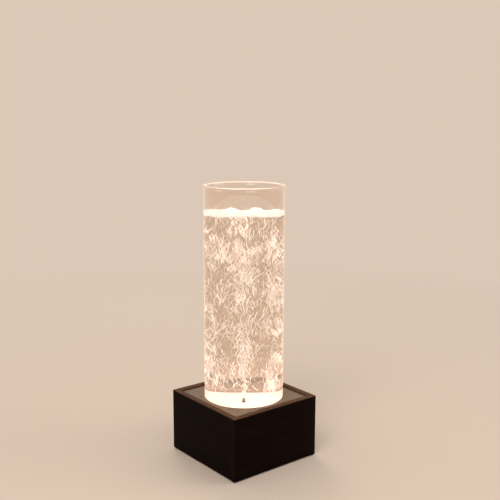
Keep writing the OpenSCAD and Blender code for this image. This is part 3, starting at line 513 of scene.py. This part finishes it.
# Two polar sheets, top and underside, joined at the wall: point (j, k) is at R sin(pi j / 2 n)
def makeFroth():
    s = frothShape
    share = np.sin(np.pi / 2 * np.arange(1, s["rings"] + 1) / s["rings"])
    ring, angle = waterRadius * share[:, None], ringAngles(s["columns"])
    x, y = ring * np.cos(angle), ring * np.sin(angle)
    top = np.stack([x, y, frothTop(x, y)], -1)
    under = np.stack([x, y, frothUnder(x, y)], -1)[::-1]
    middle = 0.5 * (top[-1:] + under[:1])
    zero = np.zeros(1)
    poles = [(0, 0, height(zero, zero)[0]) for height in (frothTop, frothUnder)]
    froth = poledBody("froth_cap", np.concatenate([top, middle, under]), *poles, turnedOver=True)
    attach(froth, "lamp")
    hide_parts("froth")
    ownMaterial(froth, frothMaterial())


def waterMaterial():
    look = waterLook
    material, tree, shader = startMaterial("warmWater")
    where = objectPattern(tree)
    share = remap(tree, noiseValue(tree, where, look["cloud"]), *look["cloudEnds"])
    setSockets(tree, shader, {
        "Base Color": mixColours(tree, share, look["tint"], look["other"]),
        "Transmission Weight": 1.0,
        "IOR": look["bending"],
        "Roughness": 0.0,
    })
    return material


# A lathe body whose top follows the froth's underside, so that no air lies between them
def makeWater():
    s = waterShape
    angle = ringAngles(s["columns"])
    wallX, wallY = waterRadius * np.cos(angle), waterRadius * np.sin(angle)
    foot = waterLow.z - s["intoFloor"]
    topHeight = frothUnder(wallX, wallY) + s["intoFroth"]
    share = np.linspace(0, 1, s["sideRows"])[:, None]
    side = np.stack([wallX + 0 * share, wallY + 0 * share, foot + (topHeight - foot) * share], -1)
    inward = np.linspace(1, 0, s["lidRows"])[1:-1, None]
    lidX, lidY = wallX * inward, wallY * inward
    lid = np.stack([lidX, lidY, frothUnder(lidX, lidY) + s["intoFroth"]], -1)
    zero = np.zeros(1)
    middleTop = frothUnder(zero, zero)[0] + s["intoFroth"]
    water = poledBody("water_body", np.concatenate([side, lid]), (0, 0, foot), (0, 0, middleTop))
    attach(water, "lamp")
    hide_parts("water")
    ownMaterial(water, waterMaterial())


makeFroth()
makeWater()

print("bubbles")

jetRing = {"radius": 0.052, "count": 6, "turn": math.radians(52), "top": waterLow.z + 0.008}
stream = {
    "low": jetRing["top"] + 0.004,
    "high": waterHigh.z - 0.006,
    "bubbles": 12,            # larger bubbles in each stream
    "tall": 0.010,
    "drift": 0.0115,          # how far a stream wanders at its top
    "driftPower": 0.6,
    "stagger": 0.382,         # from one stream to the next, as a share of a bubble's step
    "bubbleTurn": 137.5,      # degrees
    "streamTurn": 80,
}
streaks = {
    "rings": 7,
    "sides": 5,
    "taper": (0.03, 0.6),     # least share at a pointed end, and the power of the sine
    "lean": 0.28,             # sideways per length
    "winding": (1.6, 4.4),    # radians over a streak's length, either way
    "room": 0.0680,           # farthest from the axis that a streak may lie
    "pulledIn": (0.93, 1.0),  # where those past it go, as a share of it
    "spread": (0.7, 0.55),    # share of a stream's width at its foot, and what its top has more
    "overJets": 0.001,        # lowest start, over the jets
    "overFoot": 0.012,        # lowest clump, over the streams' foot
    "clumpPower": 0.95,
    "footHeight": 0.035,      # height over which the crowding at the foot fades
    "top": waterHigh.z - 0.009,
    "lastStart": 0.003,       # highest start, under the top
    "pastTop": 0.004,
    "shadeDraw": (1.3, 1.5),
    "shadeShares": (0.85, 0.35),
}
streakKinds = {
    "bubble_columns": {
        "count": 1400, "seed": 3, "clumps": "streams", "unevenness": 1.0, "around": 0.0052,
        "along": 0.011, "length": (0.007, 0.018), "thick": (0.00036, 0.00072),
        "swing": (0.0009, 0.0030), "pale": 0.80, "foot": 2.2, "stands": True},
    "bubble_swarm": {
        "count": 1150, "seed": 5, "clumps": 260, "unevenness": 0.9, "around": 0.0050,
        "along": 0.010, "length": (0.006, 0.016), "thick": (0.00032, 0.00064),
        "swing": (0.0010, 0.0034), "pale": 0.55, "foot": 0.7, "stands": False},
    "bubble_veil": {
        "count": 800, "seed": 8, "clumps": 320, "unevenness": 0.8, "around": 0.0060,
        "along": 0.012, "length": (0.004, 0.011), "thick": (0.00026, 0.00050),
        "swing": (0.0008, 0.0026), "pale": 0.35, "foot": 1.6, "stands": False},
}
streakLook = {
    "dull": (228, 200, 178),
    "bright": (255, 250, 246),
    "colourEnds": (0.15, 0.85),
    "glowEnds": (0.15, 0.95),
    "glow": (0.26, 0.92),
    "roughness": 0.3,
}


# Middles of the larger bubbles: stream k stands over jet k, bubble i is turned by 137.5 i + 80 k
# degrees about it, at a distance of drift t^0.6, and t runs from 0 at the jet to 1 at the top
def streamPlaces():
    k = np.arange(jetRing["count"] + 1)[:, None]
    i = np.arange(stream["bubbles"])[None, :]
    t = (i + (stream["stagger"] * k) % 1) / stream["bubbles"]
    reach = np.where(k == 0, 0, jetRing["radius"])
    about = jetRing["turn"] + 2 * np.pi * k / jetRing["count"]
    swerve = np.radians(stream["bubbleTurn"] * i + stream["streamTurn"] * k)
    away = stream["drift"] * t ** stream["driftPower"]
    x = reach * np.cos(about) + away * np.cos(swerve)
    y = reach * np.sin(about) + away * np.sin(swerve)
    z = stream["low"] + stream["tall"] / 2 + (stream["high"] - stream["low"] - stream["tall"]) * t
    return np.stack([x, y, z], -1).reshape(-1, 3)


# Clump middles strewn evenly over the water's round section and its height
def strewnPlaces(count, dice):
    radius, angle = streaks["room"] * np.sqrt(dice.random(count)), 2 * np.pi * dice.random(count)
    lowest = stream["low"] + streaks["overFoot"]
    z = lowest + (streaks["top"] - lowest) * dice.random(count) ** streaks["clumpPower"]
    return np.stack([radius * np.cos(angle), radius * np.sin(angle), z], -1)


# Place, length, thickness, swing, turn, lean and brightness of every streak of a kind. Its clump is
# drawn with a weight that falls as 1 + foot e^(-height / footHeight)
def drawStreaks(kind):
    s, count = streaks, kind["count"]
    dice = np.random.default_rng(kind["seed"])
    inStreams = kind["clumps"] == "streams"
    places = streamPlaces() if inStreams else strewnPlaces(kind["clumps"], dice)
    weight = dice.gamma(kind["unevenness"], size=len(places))
    crowding = np.exp(-(places[:, 2] - stream["low"]) / s["footHeight"])
    weight = weight * (1 + kind["foot"] * crowding)
    clump = places[dice.choice(len(places), count, p=weight / weight.sum())]
    share = np.clip((clump[:, 2] - stream["low"]) / (stream["high"] - stream["low"]), 0, 1)
    spread = kind["around"] * (s["spread"][0] + s["spread"][1] * share)
    x = clump[:, 0] + spread * dice.normal(size=count)
    y = clump[:, 1] + spread * dice.normal(size=count)
    start = np.clip(clump[:, 2] + kind["along"] * dice.normal(size=count),
                    jetRing["top"] + s["overJets"], s["top"] - s["lastStart"])
    far = np.hypot(x, y)
    limit = s["room"] - kind["swing"][1]
    pull = np.where(far > limit, limit * dice.uniform(*s["pulledIn"], count) / far, 1)
    longest = s["top"] - start + s["pastTop"]
    length = np.minimum(dice.uniform(*kind["length"], count), longest)
    thick = dice.uniform(*kind["thick"], count)
    swing = dice.uniform(*kind["swing"], count)
    phase = 2 * np.pi * dice.random(count)
    winding = dice.choice([-1, 1], count) * dice.uniform(*s["winding"], count)
    leanX, leanY = s["lean"] * length * dice.normal(size=(2, count))
    drawShare, kindShare = s["shadeShares"]
    shade = dice.beta(*s["shadeDraw"], count) * drawShare + kind["pale"] * kindShare
    return {"x": x * pull, "y": y * pull, "start": start, "length": length, "thick": thick,
            "swing": swing, "phase": phase, "winding": winding, "leanX": leanX, "leanY": leanY,
            "shade": np.clip(shade, 0, 1)}


# A streak is a piece of a climbing helix of its own radius and pitch, round in section, with
# pointed ends: centre = start + swing (cos w, sin w) + lean (t - 1/2) + height t, and
# radius = thick sin(pi t)^0.6, for t from 0 to 1, kept inside the water's round section
def streakPoints(drawn):
    d = {key: values[:, None] for key, values in drawn.items()}
    t = np.linspace(0, 1, streaks["rings"])[None, :]
    turn = d["phase"] + d["winding"] * t
    x = d["x"] + d["swing"] * np.cos(turn) + d["leanX"] * (t - 0.5)
    y = d["y"] + d["swing"] * np.sin(turn) + d["leanY"] * (t - 0.5)
    inside = np.minimum(1, streaks["room"] / np.hypot(x, y))
    x, y, z = x * inside, y * inside, d["start"] + d["length"] * t
    least, power = streaks["taper"]
    radius = (d["thick"] * np.maximum(np.sin(np.pi * t), least) ** power)[..., None]
    side = ringAngles(streaks["sides"])
    return np.stack([x[..., None] + radius * np.cos(side), y[..., None] + radius * np.sin(side),
                     z[..., None] + 0 * side], -1)


def makeStreaks(name, kind, material):
    drawn = drawStreaks(kind)
    rings, sides = streaks["rings"], streaks["sides"]
    first = (np.arange(kind["count"]) * rings * sides)[:, None, None]
    quads = (first + ringQuads(rings, sides)[None]).reshape(-1, 4)
    foot = flatFan(sides)
    ends = np.concatenate([foot, (rings - 1) * sides + foot[:, ::-1]])
    triangles = (first + ends[None]).reshape(-1, 3)
    piece = surfaceObject(name, streakPoints(drawn).reshape(-1, 3), quads, triangles)
    layer = piece.data.attributes.new("shade", "FLOAT", "POINT")
    layer.data.foreach_set("value", np.repeat(drawn["shade"], rings * sides).astype(np.float32))
    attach(piece, "lamp")
    if kind["stands"]:
        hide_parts("bubbles")
    ownMaterial(piece, material)


def bubbleMaterial():
    look = streakLook
    material, tree, shader = startMaterial("bubbleLight")
    shade = addNode(tree, "ShaderNodeAttribute", {"attribute_name": "shade"}).outputs["Fac"]
    colour = mixPaints(tree, shade, look["colourEnds"], look["dull"], look["bright"])
    setSockets(tree, shader, {
        "Base Color": colour,
        "Roughness": look["roughness"],
        "Emission Color": colour,
        "Emission Strength": remap(tree, shade, *look["glowEnds"], *look["glow"]),
    })
    return material


bubbleLook = bubbleMaterial()
for pieceName, kindSettings in streakKinds.items():
    makeStreaks(pieceName, kindSettings, bubbleLook)

print("finishes")

veneerLook = {
    "dark": (10, 4, 3),
    "light": (23, 10, 7),
    # Painted light: the boards' upward faces and their faces towards the tube are lighter, as if
    # lit by the tube
    "edge": (94, 67, 50),
    "end": (21, 10, 7),
    "inner": (88, 64, 49),
    "along": 2.5,                  # the grain's pattern is stretched along the board
    "across": 60,
    "bands": {"scale": 1.6, "detail": 5.0, "roughness": 0.6, "distortion": 0.4},
    "lines": {"scale": 9.0, "detail": 4.0, "roughness": 0.7},
    "grainEnds": (0.14, 0.40),
    "edgeEnds": (0.3, 0.8),        # how far a face points up
    "endEnds": (0.6, 0.9),         # how far it points along the board
    "innerEnds": (-0.03, -0.05),   # how far it points at the axis, times its distance
    "glossEnds": (0.3, 0.7),
    "gloss": (0.42, 0.60),
    "sheen": 0.025,
    "bump": (0.12, 0.0003),
}
deckLook = {
    "dark": (100, 74, 47),
    "light": (112, 84, 56),
    "cloud": {"scale": 9.0, "detail": 4.0},
    "fleck": {"scale": 260.0, "detail": 2.0},
    "cloudEnds": (0.3, 0.7),
    "gloss": (0.16, 0.26),
    "coat": (0.2, 0.08),           # weight and roughness
    "bump": (0.05, 0.0001),
}
opalLook = {
    "warm": (255, 250, 243),
    "white": (255, 255, 255),
    "cloud": 22.0,
    "cloudEnds": (0.3, 0.7),
    "roughness": 0.35,
    "glow": 0.86,
}
jetLook = {
    "metal": ((86, 82, 70), (112, 106, 92)),
    "pale": ((250, 232, 206), (255, 244, 226)),
    "cloud": 240.0,
    "cloudEnds": (0.35, 0.65),
    "ringEnds": (0.010, 0.030),    # between the middle jet and the ring's, from the axis
    "roughness": 0.3,
    "metallic": 0.8,
    "glow": 0.8,
}


# Straight grain along one axis: fine lines across it and broad bands. The upward edges and the
# faces towards the tube are paler: painted light from the tube
def veneerMaterial(name, axis):
    look = veneerLook
    material, tree, shader = startMaterial(name)
    along, across = look["along"], look["across"]
    stretch = (along, across, across) if axis == "X" else (across, along, across)
    where = objectPattern(tree, stretch)
    lines = noiseValue(tree, where, **look["lines"])
    grain = calculate(tree, "MULTIPLY", noiseValue(tree, where, **look["bands"]), lines)
    colour = mixPaints(tree, grain, look["grainEnds"], look["dark"], look["light"])
    normal = addNode(tree, "ShaderNodeNewGeometry").outputs["Normal"]
    facing = addNode(tree, "ShaderNodeSeparateXYZ", Vector=normal)
    endways = calculate(tree, "ABSOLUTE", facing.outputs[axis])
    level = vectorCalculate(tree, "MULTIPLY", normal, (1, 1, 0)).outputs[0]
    outward = vectorCalculate(tree, "DOT_PRODUCT", level, objectPattern(tree)).outputs["Value"]
    # The upward faces and the faces towards the tube get painted light; the ends get the end
    # grain's colour
    for value, face in ((endways, "end"), (outward, "inner"), (facing.outputs["Z"], "edge")):
        share = remap(tree, value, *look[face + "Ends"])
        colour = mixColours(tree, share, colour, fromScreen(*look[face]))
    setSockets(tree, shader, {
        "Base Color": colour,
        "Roughness": remap(tree, lines, *look["glossEnds"], *look["gloss"]),
        "Specular IOR Level": look["sheen"],
        "Normal": bumpFrom(tree, grain, *look["bump"]),
    })
    return material


def deckMaterial():
    look = deckLook
    material, tree, shader = startMaterial("deckGloss")
    where = objectPattern(tree)
    cloud = noiseValue(tree, where, **look["cloud"])
    fleck = noiseValue(tree, where, **look["fleck"])
    setSockets(tree, shader, {
        "Base Color": mixPaints(tree, cloud, look["cloudEnds"], look["dark"], look["light"]),
        "Roughness": remap(tree, cloud, *look["cloudEnds"], *look["gloss"]),
        "Coat Weight": look["coat"][0],
        "Coat Roughness": look["coat"][1],
        "Normal": bumpFrom(tree, fleck, *look["bump"]),
    })
    return material


def opalMaterial():
    look = opalLook
    material, tree, shader = startMaterial("opalGlow")
    cloud = noiseValue(tree, objectPattern(tree), look["cloud"])
    colour = mixPaints(tree, cloud, look["cloudEnds"], look["warm"], look["white"])
    setSockets(tree, shader, {
        "Base Color": colour,
        "Roughness": look["roughness"],
        "Emission Color": colour,
        "Emission Strength": look["glow"],
    })
    return material


# The jets of the ring stand in the light and look pale; the one in the middle is darker
def jetMaterial():
    look = jetLook
    material, tree, shader = startMaterial("nickelJet")
    where = objectPattern(tree)
    away = axisDistance(tree, where)
    cloud = noiseValue(tree, where, look["cloud"])
    metal = mixPaints(tree, cloud, look["cloudEnds"], *look["metal"])
    pale = mixPaints(tree, cloud, look["cloudEnds"], *look["pale"])
    setSockets(tree, shader, {
        "Base Color": mixColours(tree, remap(tree, away, *look["ringEnds"]), metal, pale),
        "Roughness": look["roughness"],
        "Metallic": remap(tree, away, *look["ringEnds"], look["metallic"], 0.0),
        "Emission Color": pale,
        "Emission Strength": remap(tree, away, *look["ringEnds"], 0.0, look["glow"]),
    })
    return material


dress(["front_board", "rear_board"], veneerMaterial("veneerAlongX", "X"))
dress(["left_board", "right_board"], veneerMaterial("veneerAlongY", "Y"))
dress(["deck"], deckMaterial())
dress(["tube_floor"], opalMaterial())
dress(["air_jets"], jetMaterial())

# Each finish: the nodes that have it, then its two screen colours and its pattern
finishes = {
    "tanSilicone": (
        ["deck_seal"],
        dict(dark=(104, 80, 60), light=(122, 96, 72), scale=80.0, gloss=(0.4, 0.55))),
    "pineWood": (
        ["lower_posts", "upper_posts"],
        dict(dark=(176, 138, 92), light=(206, 172, 122), scale=3.0, stretch=(40, 40, 3),
             grain=12.0, gloss=(0.5, 0.65))),
    "birchPly": (
        ["shelf"],
        dict(dark=(188, 150, 104), light=(212, 180, 134), scale=2.5, stretch=(3, 40, 40),
             grain=10.0, gloss=(0.5, 0.65))),
    "brownBoard": (
        ["bottom_panel"],
        dict(dark=(112, 82, 54), light=(140, 108, 76), scale=220.0, gloss=(0.6, 0.75))),
    "blackRubber": (
        ["feet", "tube_gasket", "pump_mounts", "diaphragm"],
        dict(dark=(24, 24, 24), light=(40, 39, 38), scale=90.0, gloss=(0.6, 0.8), grain=900.0,
             bump=0.3)),
    "zincSteel": (
        ["foot_screws", "panel_screws", "socket_screws", "arm_pin", "plate_screws", "valve_nut",
         "valve_spindle", "button_nut", "button_spring", "socket_pin", "socket_nut"],
        dict(dark=(176, 176, 174), light=(206, 206, 204), scale=150.0, gloss=(0.22, 0.38),
             sockets={"Metallic": 1.0})),
    "clearSilicone": (
        ["pump_hose", "valve_hose", "stem_hose"],
        dict(dark=(196, 194, 188), light=(220, 219, 214), scale=80.0, gloss=(0.35, 0.5))),
    "greyPlastic": (
        ["tube_socket"],
        dict(dark=(140, 142, 146), light=(154, 156, 160), scale=120.0, gloss=(0.45, 0.6))),
    "clearPlastic": (
        ["air_manifold", "check_valve"],
        dict(dark=(226, 230, 232), light=(240, 243, 245), scale=60.0, gloss=(0.1, 0.2),
             sockets={"Transmission Weight": 0.7, "IOR": 1.49})),
    "nickelBrass": (
        ["air_stem"],
        dict(dark=(168, 160, 142), light=(200, 192, 174), scale=180.0, gloss=(0.2, 0.34),
             sockets={"Metallic": 1.0})),
    "spunAluminium": (
        ["led_plate"],
        dict(dark=(190, 192, 196), light=(216, 218, 221), scale=50.0, stretch=(1, 14, 1),
             gloss=(0.28, 0.42), sockets={"Metallic": 1.0})),
    "whiteBoard": (
        ["led_board"],
        dict(dark=(226, 226, 219), light=(240, 240, 234), scale=70.0, gloss=(0.3, 0.42))),
    "emitterLens": (
        ["leds"],
        dict(dark=(255, 214, 130), light=(255, 232, 170), scale=300.0, gloss=(0.1, 0.2),
             sockets={"Emission Color": fromScreen(255, 222, 160), "Emission Strength": 1.0})),
    "pumpPlastic": (
        ["pump_tray", "pump_cover"],
        dict(dark=(74, 78, 86), light=(88, 92, 100), scale=100.0, gloss=(0.5, 0.65), grain=700.0,
             bump=0.25)),
    "coreSteel": (
        ["pump_core"],
        dict(dark=(120, 122, 126), light=(160, 162, 166), scale=2.0, stretch=(1, 700, 1),
             gloss=(0.35, 0.5), sockets={"Metallic": 0.9})),
    "copperCoil": (
        ["pump_coil"],
        dict(dark=(150, 74, 38), light=(206, 118, 70), scale=2.0, stretch=(600, 1, 1),
             gloss=(0.3, 0.42), sockets={"Metallic": 0.7})),
    "whitePlastic": (
        ["pump_arm", "valve_head", "mode_button"],
        dict(dark=(222, 221, 216), light=(236, 235, 231), scale=90.0, gloss=(0.28, 0.4))),
    "magnetGrey": (
        ["arm_magnet"],
        dict(dark=(84, 84, 88), light=(106, 106, 110), scale=240.0, gloss=(0.5, 0.65))),
    "blackAnodised": (
        ["control_plate"],
        dict(dark=(38, 38, 40), light=(52, 52, 55), scale=40.0, stretch=(1, 1, 30),
             gloss=(0.32, 0.45), sockets={"Metallic": 0.6})),
    "turnedBrass": (
        ["flow_valve"],
        dict(dark=(186, 148, 74), light=(218, 182, 104), scale=120.0, gloss=(0.22, 0.36),
             sockets={"Metallic": 1.0})),
    "blackPlastic": (
        ["flow_knob", "rocker_body", "power_socket", "board_parts"],
        dict(dark=(28, 28, 30), light=(42, 42, 45), scale=110.0, gloss=(0.4, 0.55), grain=900.0,
             bump=0.2)),
    "redPlastic": (
        ["power_rocker"],
        dict(dark=(150, 16, 12), light=(176, 26, 18), scale=80.0, gloss=(0.2, 0.3))),
    "chromedBarrel": (
        ["button_body"],
        dict(dark=(206, 206, 210), light=(224, 224, 228), scale=60.0, gloss=(0.08, 0.16),
             sockets={"Metallic": 1.0})),
    "greenBoard": (
        ["controller_board"],
        dict(dark=(18, 84, 46), light=(30, 112, 62), scale=160.0, gloss=(0.25, 0.38))),
    "leadPlastic": (
        ["leads"],
        dict(dark=(150, 34, 26), light=(178, 48, 38), scale=120.0, gloss=(0.35, 0.48))),
}
for finishName, (nodeNames, settings) in finishes.items():
    dress(nodeNames, mottledFinish(finishName, **settings))

print("bellows and spring")

bellowsShape = {
    "outline": [(0.91, 0.0), (1.0, 0.2), (0.82, 0.45), (0.91, 0.7), (0.64, 1.0)],   # radius, height
    "rows": 28,
    "rounding": 5,        # rows in the mean that rounds the outline
    "columns": 72,
}
springShape = {
    "turns": 5,
    "steps": 24,          # rings of points in a turn
    "sides": 8,
    "wire": 0.0003,
    "shorter": 0.0016,    # when the button is all the way in
}


# A lathe body with closed ends, through the outline's points, each row's radius the mean of five
# rows
def makeBellows():
    s = bellowsShape
    low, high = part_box("diaphragm")
    middle = (low + high) / 2
    radii, heights = np.array(s["outline"]).T
    t = np.linspace(0, 1, s["rows"])
    reach = np.pad(np.interp(t, heights, radii), s["rounding"] // 2, mode="edge")
    reach = np.convolve(reach, np.ones(s["rounding"]) / s["rounding"], "valid")
    reach = (high.x - low.x) / 2 * reach[:, None]
    angle = ringAngles(s["columns"])
    rings = np.stack([middle.x + reach * np.cos(angle), middle.y + reach * np.sin(angle),
                      low.z + (high.z - low.z) * t[:, None] + 0 * angle], -1)
    bellows = poledBody("pump_bellows", rings, (middle.x, middle.y, low.z),
                        (middle.x, middle.y, high.z))
    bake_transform(bellows)
    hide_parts("diaphragm")
    ownMaterial(bellows, cad["diaphragm"].data.materials[0])


# A wire of round section along a helix about Y: (R cos w, length t, R sin w), w = 2 pi turns t
def makeSpring():
    s = springShape
    low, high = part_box("button_spring")
    middle = (low + high) / 2
    t = np.linspace(0, 1, s["turns"] * s["steps"] + 1)[:, None]
    winding = 2 * np.pi * s["turns"] * t
    side = ringAngles(s["sides"])
    reach = (high.x - low.x) / 2 - s["wire"] + s["wire"] * np.cos(side)
    back, front = low.y + s["wire"], high.y - s["wire"]
    rings = np.stack([middle.x + reach * np.cos(winding),
                      back + (front - back) * t + s["wire"] * np.sin(side),
                      middle.z + reach * np.sin(winding)], -1)
    fan = flatFan(s["sides"])
    ends = np.concatenate([fan, (len(rings) - 1) * s["sides"] + fan[:, ::-1]])
    quads = ringQuads(len(rings), s["sides"])
    spring = surfaceObject("return_spring", rings.reshape(-1, 3), quads, ends)
    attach(spring, "lamp")
    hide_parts("button_spring")
    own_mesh(spring)
    ownMaterial(spring, cad["button_spring"].data.materials[0])


makeBellows()
makeSpring()

print("studio")

studio = {
    "pale": fromScreen(220, 200, 182),
    "floorReach": 60.0,
    "fade": (0.45, 1.9),          # where the floor starts and ends fading into the backdrop
    "worldColour": (1, 0.985, 0.965, 1),
    "worldLight": 0.62,
    "lampColour": (1.0, 0.97, 0.94),
    "aim": (0, 0, 0.2),
}
lamps = {
    "key": {"place": (-1.5, -0.9, 1.9), "size": 1.3, "power": 21},
    "fill": {"place": (1.5, -1.3, 1.2), "size": 1.4, "power": 9},
    "back": {"place": (0.7, 1.7, 1.7), "size": 1.1, "power": 11},
}


# Plain floor that takes shadows near the lamp and fades into the backdrop's own colour farther out
def makeFloor():
    reach = studio["floorReach"]
    corners = np.array([[-1, -1, 0], [1, -1, 0], [1, 1, 0], [-1, 1, 0]]) * reach
    floor = surfaceObject("floor", corners, np.array([[0, 1, 2, 3]]), smooth=False)
    material, tree, shader = startMaterial("paleFloor")
    away = vectorCalculate(tree, "LENGTH", objectPattern(tree)).outputs["Value"]
    setSockets(tree, shader, {
        "Base Color": studio["pale"],
        "Roughness": 0.9,
        "Specular IOR Level": 0.1,
    })
    flat = addNode(tree, "ShaderNodeEmission", Color=studio["pale"], Strength=1.0)
    mixed = addNode(tree, "ShaderNodeMixShader", i0=remap(tree, away, *studio["fade"]),
                    i1=shader.outputs[0], i2=flat.outputs[0])
    tree.links.new(mixed.outputs[0], tree.nodes["Material Output"].inputs["Surface"])
    ownMaterial(floor, material)


# The backdrop shows its pale colour to the camera, in reflections and through clear pieces
def makeWorld():
    world = bpy.data.worlds.new("studio")
    bpy.context.scene.world = world
    world.use_nodes = True
    tree = world.node_tree
    tree.nodes.clear()
    path = addNode(tree, "ShaderNodeLightPath")
    seen = calculate(tree, "MAXIMUM", path.outputs["Is Camera Ray"],
                     path.outputs["Is Transmission Ray"])
    seen = calculate(tree, "MAXIMUM", seen, path.outputs["Is Glossy Ray"])
    light = addNode(tree, "ShaderNodeBackground", Color=studio["worldColour"],
                    Strength=studio["worldLight"])
    backdrop = addNode(tree, "ShaderNodeBackground", Color=studio["pale"], Strength=1.0)
    mixed = addNode(tree, "ShaderNodeMixShader", i0=seen, i1=light.outputs[0],
                    i2=backdrop.outputs[0])
    addNode(tree, "ShaderNodeOutputWorld", Surface=mixed.outputs[0])


def makeLamps():
    for name, settings in lamps.items():
        data = bpy.data.lights.new(name, "AREA")
        data.shape = "DISK"
        data.size = settings["size"]
        data.energy = settings["power"]
        data.color = studio["lampColour"]
        lamp = bpy.data.objects.new(name, data)
        lamp.location = settings["place"]
        away = Vector(settings["place"]) - Vector(studio["aim"])
        lamp.rotation_euler = away.to_track_quat("Z", "Y").to_euler()
        bpy.context.scene.collection.objects.link(lamp)


makeFloor()
makeWorld()
makeLamps()
